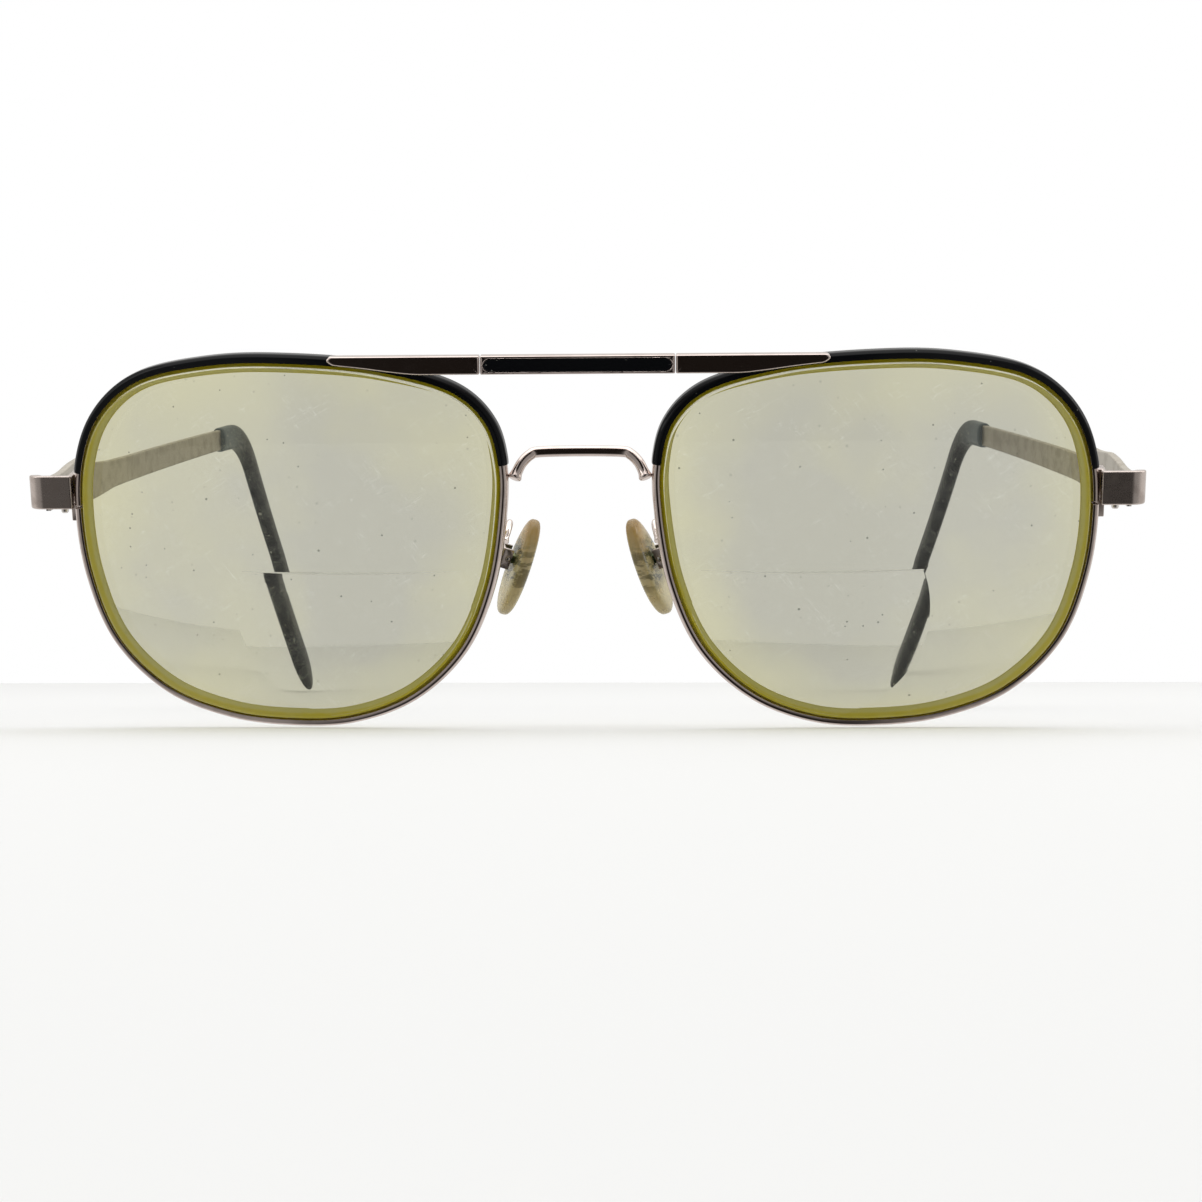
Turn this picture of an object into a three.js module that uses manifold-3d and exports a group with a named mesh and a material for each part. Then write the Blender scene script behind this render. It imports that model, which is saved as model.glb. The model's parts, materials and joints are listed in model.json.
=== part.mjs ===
// Metal double-bridge spectacles with flat-top bifocal lenses, folding temples and rocking nose pads.
//
// Units are millimetres. The frame is first built as it is worn: +X to the wearer's left, +Y back
// along the temples, +Z up, with x = 0 on the nose. The lens front leans by the pantoscopic angle.
// Left-hand pieces are modelled and the right-hand ones are their mirror images. Last, everything is
// leaned back until both eyewires and both temple tips stand on z = 0.
import * as THREE from "three";
import { ParametricGeometry } from "three/addons/geometries/ParametricGeometry.js";
import { mergeVertices } from "three/addons/utils/BufferGeometryUtils.js";
import Module from "manifold-3d";

const wasm = await Module();
wasm.setup();

const { degToRad, lerp, smoothstep } = THREE.MathUtils;

// ---------------------------------------------------------------- driving dimensions

const GAP = 0.06;                     // brazed or glued joint between two pieces
const RUNNING = 0.05;                 // radial clearance of a screw in its hole
const PANTOSCOPIC = degToRad(7);      // lean of the lens front, top edge forward
const FACE_FORM = degToRad(6);        // each lens turned back at its temple side

const EYE_X = 38.2;                   // centre of a lens box from the nose line
const FRONT_RADIUS = 88;              // lens front surface
const BACK_RADIUS = 65;               // lens back surface
const LENS_CENTRE = 2;                // lens thickness at its centre
const BEVEL_SETBACK = 1.25;           // bevel ridge behind the lens front surface
const BEVEL_HALF = 0.72;              // half width of the bevel at its foot
const BEVEL_HEIGHT = 0.52;            // ridge above the ground edge
const EDGE_TAPER = 1.1;               // how far the rear of the ground edge leans inwards
const LENS_PLAY = 0.08;               // room between the bevel ridge and its groove
const LENS_SLICES = 42;

const SEGMENT = { u: -8.9, top: -2.6, radius: 15, rise: 5.7, power: 65, foot: -1.6 };

const BAR = { front: 1.05, back: 2.55, top: 25.0, bottom: 22.65, centreHalf: 12.1, wingEnd: 31.4 };
const INLAY = { half: 11.7, height: 1.5, depth: 0.3 };

const END = { inner: 66.1, outer: 71.9, front: 6.55, plate: 1.3, height: 4.4, z: 6.9 };
const LOCK = { x0: 64.4, x1: 66.9, y0: 9.95, y1: 12.3, split: 4.0, top: 7.9, bottom: 1.6 };
const LOCK_SCREW = { x: 65.5, y: 11.1, radius: 0.5 };
const HINGE = { x: 69.2, y: 15.2, z: 5.7, barrel: 1.05, half: 1.7, knuckle: 0.55, leaf: 0.6, reach: 4.6 };
const HINGE_SCREW = 0.5;
const BUTT_GAP = 0.15;                // half of the gap between end piece and temple
const BUTT_HALF = 2.05;               // half height of the metal at the hinge

const TEMPLE = { thick: 1.1, strip: 82, bend: 96 };
const TIP = { length: 56.5, radius: 11, drop: degToRad(70), tall: 4.6, thick: 2.8, core: 47 };
const TIP_CURL = degToRad(8);         // the tip's end drops this much more steeply
const BOW_LEFT = 9.9;                 // how far the left temple's bend is inside the hinge line
const BOW_RIGHT = 7.6;                // and the right one's, which has been bent in less

const PAD = { top: [6.3, 1.4], bottom: [11.0, -10.8], y: 9.6, width: 7.6, mountAt: 0.9 };
const PAD_SPLAY = degToRad(11);       // turn of the bearing face towards the rear
const PLATE = { length: 5.4, width: 2.4, bottom: -0.8, top: -0.2 };
const BOSS = { length: 1.1, width: 1.4, end: -2.3, screw: 0.35, axis: -1.75 };

// Lens outline at the bevel ridge, seen from the front, as [towards the temple, up] from the box
// centre. It starts at the split in the eyewire and goes over the brow to the nose and back.
const EYE_OUTLINE = [
  [27.7, 4.0], [27.2, 9.8], [25.5, 14.7], [22.4, 18.6], [18.1, 21.3], [9.0, 23.4], [0.6, 23.9],
  [-12.5, 22.9], [-22.4, 19.8], [-26.3, 15.7], [-27.7, 10.5], [-27.7, 5.0], [-26.0, -5.1],
  [-22.2, -13.7], [-15.6, -20.1], [-7.6, -23.3], [0.6, -23.9], [8.7, -23.2], [17.0, -20.3],
  [23.6, -13.9], [26.8, -5.0],
];
const SPLIT_SHARE = 0.0011;           // share of the outline removed on each side of the split
const ENAMEL_FROM = 0.74;             // outline point where the enamel starts, above the end piece
const ENAMEL_TO = 10;                 // outline point where it stops, beside the lower bridge

// Sections are [outwards from the lens, backwards], about the bevel ridge.
const EYEWIRE_SECTION = [
  [0.45, -0.95], [0.80, -0.55], [0.80, 0.55], [0.45, 0.95], [-0.40, 0.95], [-0.40, 0.72],
  [0.12, 0], [-0.40, -0.72], [-0.40, -0.95],
];
const ENAMEL_SECTION = [
  [-0.38, -1.2], [0.57, -1.2], [1.04, -0.65], [1.04, 0.5], [0.88, 0.5], [0.88, -0.6],
  [0.48, -1.04], [-0.38, -1.04],
];

// ---------------------------------------------------------------- materials

const finish = (color, roughness, metalness, more = {}) => ({ color, roughness, metalness, ...more });
const GUNMETAL = finish(0x6b625c, 0.22, 1);
const STEEL = finish(0x9a948c, 0.3, 1);
const ENAMEL = finish(0x0b0c0d, 0.12, 0);
const TINTED = finish(0xd6d6a8, 0.05, 0, { transparent: true, opacity: 0.4 });
const SLEEVE = finish(0x23282c, 0.25, 0);
const PAD_PLASTIC = finish(0xc9b46a, 0.35, 0);
const VERDIGRIS = finish(0x4a5a35, 0.6, 0.5);

// ---------------------------------------------------------------- solids

function toSolid(geometry) {
  const bare = geometry.clone();
  bare.deleteAttribute("normal");
  bare.deleteAttribute("uv");
  const merged = mergeVertices(bare, 1e-4);
  const index = merged.index.array;
  const keep = [];
  for (let i = 0; i < index.length; i += 3) {
    const [a, b, c] = [index[i], index[i + 1], index[i + 2]];
    if (a !== b && b !== c && c !== a) keep.push(a, b, c);
  }
  const shape = new wasm.Mesh({
    numProp: 3,
    vertProperties: new Float32Array(merged.attributes.position.array),
    triVerts: new Uint32Array(keep),
  });
  return new wasm.Manifold(shape);
}

function toGeometry(solid) {
  const shape = solid.getMesh();
  const geometry = new THREE.BufferGeometry();
  geometry.setAttribute("position", new THREE.BufferAttribute(shape.vertProperties, 3));
  geometry.setIndex(new THREE.BufferAttribute(shape.triVerts, 1));
  return geometry;
}

const join = (...shapes) => toGeometry(shapes.map(toSolid).reduce((a, b) => a.add(b)));
const cut = (shape, ...tools) =>
  toGeometry(tools.map(toSolid).reduce((a, b) => a.subtract(b), toSolid(shape)));
const common = (shape, tool) => toGeometry(toSolid(shape).intersect(toSolid(tool)));

// Turn the triangles over if they enclose a negative volume.
function facingOut(geometry) {
  const shape = geometry.index ? geometry.toNonIndexed() : geometry.clone();
  const p = shape.attributes.position;
  const [a, b, c] = [new THREE.Vector3(), new THREE.Vector3(), new THREE.Vector3()];
  let volume = 0;
  for (let i = 0; i < p.count; i += 3) {
    a.fromBufferAttribute(p, i);
    b.fromBufferAttribute(p, i + 1);
    c.fromBufferAttribute(p, i + 2);
    volume += a.dot(b.cross(c));
  }
  if (volume < 0) {
    for (let i = 0; i < p.count; i += 3) {
      b.fromBufferAttribute(p, i + 1);
      c.fromBufferAttribute(p, i + 2);
      p.setXYZ(i + 1, c.x, c.y, c.z);
      p.setXYZ(i + 2, b.x, b.y, b.z);
    }
  }
  return shape;
}

// Move every vertex of a geometry with a function of its position.
function reshape(geometry, move) {
  const p = geometry.attributes.position;
  const v = new THREE.Vector3();
  for (let i = 0; i < p.count; i += 1) {
    v.fromBufferAttribute(p, i);
    move(v);
    p.setXYZ(i, v.x, v.y, v.z);
  }
  return geometry;
}

function box(x0, x1, y0, y1, z0, z1) {
  return new THREE.BoxGeometry(x1 - x0, y1 - y0, z1 - z0)
    .translate((x0 + x1) / 2, (y0 + y1) / 2, (z0 + z1) / 2);
}

// Upright cylinder about (x, y).
function post(x, y, radius, z0, z1, sides = 16) {
  return new THREE.CylinderGeometry(radius, radius, z1 - z0, sides)
    .rotateX(Math.PI / 2)
    .translate(x, y, (z0 + z1) / 2);
}

// Slab with a given front outline [x, z], from y = front back to y = back, edges eased by ease.
function slab(outline, front, back, ease) {
  const shape = new THREE.Shape(outline.map(([x, z]) => new THREE.Vector2(x, z)));
  return new THREE.ExtrudeGeometry(shape, {
    depth: back - front - 2 * ease,
    bevelEnabled: ease > 0,
    bevelThickness: ease,
    bevelSize: ease,
    bevelOffset: -ease,
    bevelSegments: 1,
  }).rotateX(Math.PI / 2).translate(0, back - ease, 0);
}

// Slotted cheese-head screw along +Z with its head at the top, about the origin.
function screw(radius, length, headRadius, headHeight) {
  const shank = new THREE.LatheGeometry([
    [0, 0], [radius * 0.7, 0], [radius, radius * 0.4], [radius, length], [headRadius, length],
    [headRadius, length + headHeight * 0.6], [headRadius * 0.7, length + headHeight],
    [0, length + headHeight],
  ].map(([x, y]) => new THREE.Vector2(x, y)), 14).rotateX(Math.PI / 2);
  const top = length + headHeight;
  const slot = box(-2 * headRadius, 2 * headRadius, -0.13, 0.13, top - headHeight * 0.5, top + 1);
  return cut(shank, slot);
}

// A path that carries its section by given side directions instead of Frenet's.
class GuidedCurve extends THREE.Curve {
  constructor(pointAt, guideAt) {
    super();
    this.pointAt = pointAt;
    this.guideAt = guideAt;
  }

  getPoint(t, target = new THREE.Vector3()) {
    return target.copy(this.pointAt(t));
  }

  computeFrenetFrames(steps) {
    const frames = { tangents: [], normals: [], binormals: [] };
    for (let i = 0; i <= steps; i += 1) {
      const tangent = this.getTangentAt(i / steps);
      const guide = this.guideAt(i / steps);
      const binormal = guide.addScaledVector(tangent, -guide.dot(tangent)).normalize();
      frames.tangents.push(tangent);
      frames.normals.push(binormal.clone().cross(tangent));
      frames.binormals.push(binormal);
    }
    return frames;
  }
}

const roundSection = (radius, sides) =>
  Array.from({ length: sides }, (_, i) => {
    const angle = (2 * Math.PI * i) / sides;
    return [radius * Math.cos(angle), radius * Math.sin(angle)];
  });

function sweep(path, section, steps) {
  const shape = new THREE.Shape(section.map(([x, y]) => new THREE.Vector2(x, y)));
  return new THREE.ExtrudeGeometry(shape, { steps, extrudePath: path, bevelEnabled: false });
}

// Wire of round section through points, its section guided by the world's up direction.
function wire(points, radius, sides, steps, tension = 0.5) {
  const spline = new THREE.CatmullRomCurve3(points.map((p) => new THREE.Vector3(...p)), false,
    "catmullrom", tension);
  const path = new GuidedCurve((t) => spline.getPoint(t), () => new THREE.Vector3(0.1, 0.3, 1));
  return sweep(path, roundSection(radius, sides), steps);
}

// ---------------------------------------------------------------- lens and eyewire

const sag = (radius, r) => radius - Math.sqrt(radius * radius - r * r);
const frontDepth = (u, v) => sag(FRONT_RADIUS, Math.hypot(u, v));
const backDepth = (u, v) => LENS_CENTRE + sag(BACK_RADIUS, Math.hypot(u, v));

const eyeSpline = new THREE.CatmullRomCurve3(
  EYE_OUTLINE.map(([u, v]) => new THREE.Vector3(u, 0, v)), true, "centripetal");

// Ridge of the bevel between two shares of the outline, as a curve that follows the lens front.
function ridge(from, to) {
  const pointAt = (t) => {
    const p = eyeSpline.getPoint(lerp(from, to, t));
    p.y = frontDepth(p.x, p.z) + BEVEL_SETBACK;
    return p;
  };
  return new GuidedCurve(pointAt, () => new THREE.Vector3(0, 1, 0));
}

// From the lens's own axes to those of the lens front.
const intoFront = (geometry) => geometry.rotateZ(FACE_FORM).translate(EYE_X, 0, 0);

function eyewire() {
  return intoFront(sweep(ridge(SPLIT_SHARE, 1 - SPLIT_SHARE), EYEWIRE_SECTION, 60));
}

function rimEnamel() {
  const share = (point) => point / EYE_OUTLINE.length;
  return intoFront(sweep(ridge(share(ENAMEL_FROM), share(ENAMEL_TO)), ENAMEL_SECTION, 34));
}

// Ridge points and their outward directions, spaced evenly round the lens.
function lensRing() {
  const curve = ridge(0, 1);
  return Array.from({ length: LENS_SLICES + 1 }, (_, i) => {
    const point = curve.getPointAt((i % LENS_SLICES) / LENS_SLICES);
    const tangent = curve.getTangentAt((i % LENS_SLICES) / LENS_SLICES);
    const out = new THREE.Vector2(tangent.z, -tangent.x).normalize();
    return { u: point.x, v: point.z, ridgeDepth: point.y, out };
  });
}

function lensBlank() {
  const ring = lensRing();
  const inset = (r, by) => [r.u - by * r.out.x, r.v - by * r.out.y];
  const surface = (r, by, share, depth) => {
    const [u, v] = inset(r, by).map((c) => c * share);
    return [u, depth(u, v), v];
  };
  const flank = (r, by, back) => {
    const [u, v] = inset(r, by);
    return [u, r.ridgeDepth + back, v];
  };
  const edge = LENS_PLAY + BEVEL_HEIGHT;
  const foot = edge + EDGE_TAPER;
  const stations = [
    (r) => surface(r, edge, 0, frontDepth),
    (r) => surface(r, edge, 0.34, frontDepth),
    (r) => surface(r, edge, 0.67, frontDepth),
    (r) => surface(r, edge, 1, frontDepth),
    (r) => flank(r, edge, -BEVEL_HALF),
    (r) => flank(r, LENS_PLAY, 0),
    (r) => flank(r, edge, BEVEL_HALF),
    (r) => surface(r, foot, 1, backDepth),
    (r) => surface(r, foot, 0.67, backDepth),
    (r) => surface(r, foot, 0.34, backDepth),
    (r) => surface(r, foot, 0, backDepth),
  ];
  const last = stations.length - 1;
  const place = (s, t, target) => {
    const r = ring[Math.round(s * LENS_SLICES)];
    target.set(...stations[Math.round(t * last)](r));
  };
  return facingOut(new ParametricGeometry(place, LENS_SLICES, last));
}

// Reading segment: a steeper cap on the lens front, with a straight top ledge, trimmed to the lens.
function readingSegment() {
  const { u, top, radius, rise, power, foot } = SEGMENT;
  const v = top - rise;
  const crown = sag(power, radius) - sag(FRONT_RADIUS, radius);
  const profile = [0, 0.4, 0.75, 1].map((share) => [radius * share, crown - sag(power, radius * share)]);
  profile.push([radius, foot], [0, foot]);
  const cap = new THREE.LatheGeometry(profile.map(([r, h]) => new THREE.Vector2(r, h)), 32);
  cap.rotateX(Math.PI);
  const lower = box(-2 * radius, 2 * radius, -5, 5, -2 * radius, rise);
  const normal = new THREE.Vector3(u, -(FRONT_RADIUS - frontDepth(u, v)), v).normalize();
  const turn = new THREE.Quaternion().setFromUnitVectors(new THREE.Vector3(0, -1, 0), normal);
  const placed = common(facingOut(cap), lower).applyQuaternion(turn).translate(u, frontDepth(u, v), v);
  const trim = lensRing().slice(0, -1).map((r) => {
    const by = LENS_PLAY + BEVEL_HEIGHT + 0.1;
    return [r.u - by * r.out.x, r.v - by * r.out.y];
  });
  return common(placed, slab(trim, -5, 15, 0));
}

const lens = () => intoFront(join(lensBlank(), readingSegment()));

// ---------------------------------------------------------------- brow bar and lower bridge

const stadium = (half, height, z, points = 6) =>
  [1, -1].flatMap((side) => Array.from({ length: points + 1 }, (_, i) => {
    const angle = Math.PI * (i / points - 0.5);
    const r = height / 2;
    return [side * (half - r + r * Math.cos(angle)), z + side * r * Math.sin(angle)];
  }));

function browBar() {
  const { front, back, top, bottom, centreHalf: half } = BAR;
  const block = slab([[-half, bottom], [half, bottom], [half, top], [-half, top]], front, back, 0.2);
  const pocket = slab(stadium(INLAY.half + GAP, INLAY.height + 2 * GAP, (top + bottom) / 2),
    front - 1, front + INLAY.depth + GAP, 0);
  return cut(block, pocket);
}

function browInlay() {
  const z = (BAR.top + BAR.bottom) / 2;
  return slab(stadium(INLAY.half, INLAY.height, z), BAR.front, BAR.front + INLAY.depth, 0);
}

function browWing() {
  const { front, back, top, bottom, centreHalf, wingEnd } = BAR;
  const start = centreHalf + 0.1;
  const outline = [
    [start, bottom], [20.5, bottom], [23.5, bottom + 0.35], [27, bottom + 0.85],
    [wingEnd - 0.8, top - 1.1], [wingEnd - 0.2, top - 0.85], [wingEnd, top - 0.5],
    [wingEnd - 0.2, top - 0.15], [wingEnd - 0.8, top], [start, top],
  ];
  return slab(outline, front, back, 0.2);
}

function lowerBridge() {
  const half = [[8.35, 3.3, 8.7], [8.0, 3.8, 9.5], [7.4, 4.5, 10.5], [6.4, 5.2, 11.35], [5.2, 5.6, 11.65]];
  const mirrored = half.map(([x, y, z]) => [-x, y, z]).reverse();
  return wire([...half, [0, 5.8, 11.7], ...mirrored], 0.7, 8, 32);
}

// ---------------------------------------------------------------- end piece and split lock

// Bent strap seen from above, its face leaning with the lens front and its rear as tall as the butt.
function endPiece() {
  const { inner, outer, front, plate, height, z } = END;
  const rear = HINGE.y - BUTT_GAP;
  const shape = new THREE.Shape();
  shape.moveTo(inner, front + plate);
  shape.lineTo(inner, front);
  shape.lineTo(outer - 2, front);
  shape.absarc(outer - 2, front + 2, 2, -Math.PI / 2, 0, false);
  for (const share of [0.25, 0.5, 0.75, 1]) shape.lineTo(outer, lerp(front + 2, rear, share));
  for (const share of [1, 0.75, 0.5, 0.25]) shape.lineTo(outer - plate, lerp(front + 2, rear, share));
  shape.absarc(outer - 2, front + 2, 0.7, 0, -Math.PI / 2, true);
  const ease = 0.25;
  const strap = new THREE.ExtrudeGeometry(shape, {
    depth: height - 2 * ease,
    bevelThickness: ease,
    bevelSize: ease,
    bevelOffset: -ease,
    bevelSegments: 1,
    curveSegments: 5,
  }).translate(0, 0, ease - height / 2);
  return reshape(strap, (p) => {
    const back = smoothstep(p.y, front + plate, rear);
    p.y -= p.z * Math.tan(PANTOSCOPIC) * (1 - back);
    p.z = lerp(z, HINGE.z, back) + p.z * lerp(1, (2 * BUTT_HALF) / height, back);
  });
}

const lockHole = () => post(LOCK_SCREW.x, LOCK_SCREW.y, LOCK_SCREW.radius + RUNNING, -1, 7.2);

// Both lock blocks sit behind the eyewire, one on each side of its split.
function lockUpper() {
  const { x0, x1, y0, y1, split, top } = LOCK;
  const block = box(x0, x1, y0, y1, split + 0.15, top);
  const tongue = box(END.inner + 0.2, x1, 8.75, y0 + 0.5, split + 0.9, top);
  return cut(join(block, tongue), lockHole());
}

function lockLower() {
  const { x0, x1, y0, y1, split, bottom } = LOCK;
  return cut(box(x0, x1, y0, y1, bottom, split - 0.15), lockHole());
}

function lockScrew() {
  const { x, y, radius } = LOCK_SCREW;
  return screw(radius, 5.3, 0.9, 0.5).rotateX(Math.PI).translate(x, y, LOCK.bottom - GAP + 5.3);
}

// ---------------------------------------------------------------- hinge

const LEAF_FACE = END.outer - END.plate - GAP;

// One hinge half: barrels on the hinge axis and a leaf that runs from them along the metal.
function hingeHalf(levels, direction) {
  const { x, y, barrel, half, leaf, reach } = HINGE;
  const clear = barrel + 0.25;
  const along = (near, far) => [y + direction * near, y + direction * far].sort((a, b) => a - b);
  const [plate0, plate1] = along(clear, reach);
  const [neck0, neck1] = along(0, clear + 0.1);
  let shape = box(LEAF_FACE - leaf, LEAF_FACE, plate0, plate1, HINGE.z - half, HINGE.z + half);
  for (const [low, high] of levels) {
    const neck = box(LEAF_FACE - leaf, LEAF_FACE, neck0, neck1, HINGE.z + low, HINGE.z + high);
    shape = join(shape, neck, post(x, y, barrel, HINGE.z + low, HINGE.z + high));
  }
  return cut(shape, post(x, y, HINGE_SCREW + RUNNING, HINGE.z - 5, HINGE.z + 5));
}

const hingeFront = () => {
  const { half, knuckle } = HINGE;
  return hingeHalf([[knuckle + 0.07, half], [-half, -knuckle - 0.07]], -1);
};
const hingeTemple = () => hingeHalf([[-HINGE.knuckle, HINGE.knuckle]], 1);
const hingeScrew = () =>
  screw(HINGE_SCREW, 4.4, 0.95, 0.5).translate(HINGE.x, HINGE.y, HINGE.z + HINGE.half + GAP - 4.4);

// ---------------------------------------------------------------- temple and its tip

// Side line of the temple from the butt, [back, up], and how far it curves in at a distance s.
const sideLine = new THREE.Path();
const BEND_START = TEMPLE.bend - TIP.radius * Math.tan(TIP.drop / 2);
sideLine.moveTo(0, 0);
sideLine.lineTo(BEND_START, 0);
sideLine.absarc(BEND_START, -TIP.radius, TIP.radius, Math.PI / 2, Math.PI / 2 - TIP.drop, true);
const bendEnd = sideLine.currentPoint.clone();
const tipRun = TIP.length - TIP.radius * Math.tan(TIP.drop / 2);
const tipAim = (angle, run) => [bendEnd.x + run * Math.cos(angle), bendEnd.y - run * Math.sin(angle)];
sideLine.quadraticCurveTo(...tipAim(TIP.drop, tipRun / 2), ...tipAim(TIP.drop + TIP_CURL / 2, tipRun));
const TEMPLE_LENGTH = sideLine.getLength();

const inwardAt = (s, bow) => bow * (s / TEMPLE.bend) ** 2;

const TEMPLE_X = END.outer - TEMPLE.thick / 2 - 0.1;
function templePoint(s, bow) {
  const p = sideLine.getPointAt(THREE.MathUtils.clamp(s / TEMPLE_LENGTH, 0, 1));
  return new THREE.Vector3(TEMPLE_X - inwardAt(s, bow), HINGE.y + p.x, HINGE.z + p.y);
}

const templePath = (from, to, bow) =>
  new GuidedCurve((t) => templePoint(lerp(from, to, t), bow), () => new THREE.Vector3(1, 0.05, 0));

const flatSection = (tall, thick, corner) => {
  const [a, b] = [tall / 2, thick / 2];
  return [
    [a, -b + corner], [a, b - corner], [a - corner, b], [-a + corner, b], [-a, b - corner],
    [-a, -b + corner], [-a + corner, -b], [a - corner, -b],
  ];
};

// Stamped strap with a tall butt, and the core wire that runs on inside the plastic tip.
function temple(bow) {
  const upper = [[BUTT_GAP, BUTT_HALF], [6, BUTT_HALF], [11, 2.6], [16, 2.8], [19, 2.45], [24, 2.1]];
  const lower = [[BUTT_GAP, BUTT_HALF], [6, BUTT_HALF], [11, 2.6], [17, 2.8], [21, 2.5], [25, 2.1]];
  for (let s = 32; s <= TEMPLE.strip - 2; s += 12) {
    upper.push([s, lerp(2.1, 1.9, s / TEMPLE.strip)]);
    lower.push([s, lerp(2.1, 1.9, s / TEMPLE.strip)]);
  }
  upper.push([TEMPLE.strip - 0.1, 1.9]);
  lower.push([TEMPLE.strip - 0.1, 1.9]);
  const outline = [...lower.map(([s, h]) => [s, -h]), ...upper.reverse()];
  const ease = 0.2;
  const strap = new THREE.ExtrudeGeometry(new THREE.Shape(outline.map(([s, h]) => new THREE.Vector2(s, h))), {
    depth: TEMPLE.thick - 2 * ease,
    bevelThickness: ease,
    bevelSize: ease,
    bevelOffset: -ease,
    bevelSegments: 1,
  }).translate(0, 0, ease - TEMPLE.thick / 2);
  const axes = [[0, 1, 0], [0, 0, 1], [1, 0, 0]].map((a) => new THREE.Vector3(...a));
  strap.applyMatrix4(new THREE.Matrix4().makeBasis(...axes));
  reshape(strap, (p) => {
    p.set(p.x + TEMPLE_X - inwardAt(p.y, bow), p.y + HINGE.y, p.z + HINGE.z);
  });
  const core = sweep(templePath(TEMPLE.strip - 1.5, TEMPLE.bend + TIP.core, bow),
    flatSection(1.6, 0.9, 0.2), 22);
  return join(strap, facingOut(core));
}

// Plastic tip: an oval that grows taller and thinner towards a rounded end, bored for the core.
function templeTip(bow) {
  const [from, to] = [TEMPLE.strip, TEMPLE_LENGTH];
  const stations = [[0, 0], [0, 0.86], [0.012, 1], [0.08, 1], [0.15, 1], [0.2, 1], [0.25, 1], [0.3, 1],
    [0.36, 1], [0.43, 1], [0.52, 1], [0.62, 1], [0.72, 1], [0.82, 1], [0.9, 0.97], [0.955, 0.86],
    [0.985, 0.62], [1, 0.25], [1, 0]];
  const last = stations.length - 1;
  const path = templePath(from, to, bow);
  const slices = 12;
  const place = (around, along, target) => {
    const [share, size] = stations[Math.round(along * last)];
    const centre = path.getPoint(share);
    const tangent = path.getTangent(share);
    const side = new THREE.Vector3(1, 0, 0).addScaledVector(tangent, -tangent.x).normalize();
    const up = side.clone().cross(tangent);
    const angle = 2 * Math.PI * around;
    const tall = lerp(TIP.tall, TIP.tall + 1, share) * size;
    const thick = lerp(TIP.thick, TIP.thick - 0.4, share) * size;
    const square = (c) => Math.sign(c) * Math.abs(c) ** 0.75;
    target.copy(centre).addScaledVector(up, (square(Math.cos(angle)) * tall) / 2)
      .addScaledVector(side, (square(Math.sin(angle)) * thick) / 2);
  };
  const body = facingOut(new ParametricGeometry(place, slices, last));
  const bore = sweep(templePath(from - 1.5, TEMPLE.bend + TIP.core + 0.3, bow),
    flatSection(1.6 + 2 * RUNNING, 0.9 + 2 * RUNNING, 0.2), 22);
  return cut(body, facingOut(bore));
}

// ---------------------------------------------------------------- nose pad

// A pad's own axes: x up its length, y across it towards the rear, z out of its bearing face.
function padFrame() {
  const [x0, z0] = PAD.top;
  const [x1, z1] = PAD.bottom;
  const along = new THREE.Vector3(x0 - x1, 0, z0 - z1).normalize();
  const flat = new THREE.Vector3(-along.z, 0, along.x);
  const rear = new THREE.Vector3(0, 1, 0);
  const face = flat.clone().multiplyScalar(Math.cos(PAD_SPLAY)).addScaledVector(rear, Math.sin(PAD_SPLAY));
  const across = rear.multiplyScalar(Math.cos(PAD_SPLAY)).addScaledVector(flat, -Math.sin(PAD_SPLAY));
  return new THREE.Matrix4().makeBasis(along, across, face)
    .setPosition((x0 + x1) / 2, PAD.y, (z0 + z1) / 2);
}

const onPad = (geometry) => geometry.applyMatrix4(padFrame());
const onMount = (geometry) => onPad(geometry.translate(PAD.mountAt, 0, 0));

function nosePad() {
  const halfLength = Math.hypot(PAD.top[0] - PAD.bottom[0], PAD.top[1] - PAD.bottom[1]) / 2 + 0.2;
  const stations = [[0, -0.9], [0.75, -0.9], [0.95, -0.5], [1, 0.1], [0.96, 0.7], [0.82, 1.2], [0, 1.2]];
  const last = stations.length - 1;
  const place = (around, along, target) => {
    const [share, z] = stations[Math.round(along * last)];
    const angle = 2 * Math.PI * around;
    const egg = 1 - 0.14 * Math.cos(angle);
    target.set(share * halfLength * Math.cos(angle), share * (PAD.width / 2) * egg * Math.sin(angle), z);
  };
  const body = facingOut(new ParametricGeometry(place, 24, last));
  const { length, width, top } = PLATE;
  const pocket = box(-length / 2 - GAP, length / 2 + GAP, -width / 2 - GAP, width / 2 + GAP, -3, top + GAP);
  return onPad(cut(body, pocket.translate(PAD.mountAt, 0, 0)));
}

const padHole = (radius) =>
  new THREE.CylinderGeometry(radius, radius, 6, 14).translate(0, 0, BOSS.axis);

function padInsert() {
  const plate = box(-PLATE.length / 2, PLATE.length / 2, -PLATE.width / 2, PLATE.width / 2,
    PLATE.bottom, PLATE.top);
  const boss = box(-BOSS.length / 2, BOSS.length / 2, -BOSS.width / 2, BOSS.width / 2,
    BOSS.end, PLATE.bottom + 0.1);
  return onMount(cut(join(plate, boss), padHole(BOSS.screw + RUNNING)));
}

function padBox() {
  const inner = BOSS.width / 2 + 0.08;
  const outer = inner + 0.4;
  const [low, high] = [BOSS.end - 0.5, -1.35];
  const half = 1.35;
  const base = box(-half, half, -outer, outer, low, BOSS.end - 0.2);
  const ears = [[-outer, -inner], [inner, outer]].map(([a, b]) => box(-half, half, a, b, low + 0.1, high));
  return onMount(cut(join(base, ...ears), padHole(BOSS.screw + 0.02)));
}

function padScrew() {
  const reach = BOSS.width / 2 + 0.08 + 0.4;
  return onMount(screw(BOSS.screw, 2 * reach + 0.1, 0.65, 0.35).rotateX(-Math.PI / 2)
    .translate(0, -reach, BOSS.axis));
}

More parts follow.
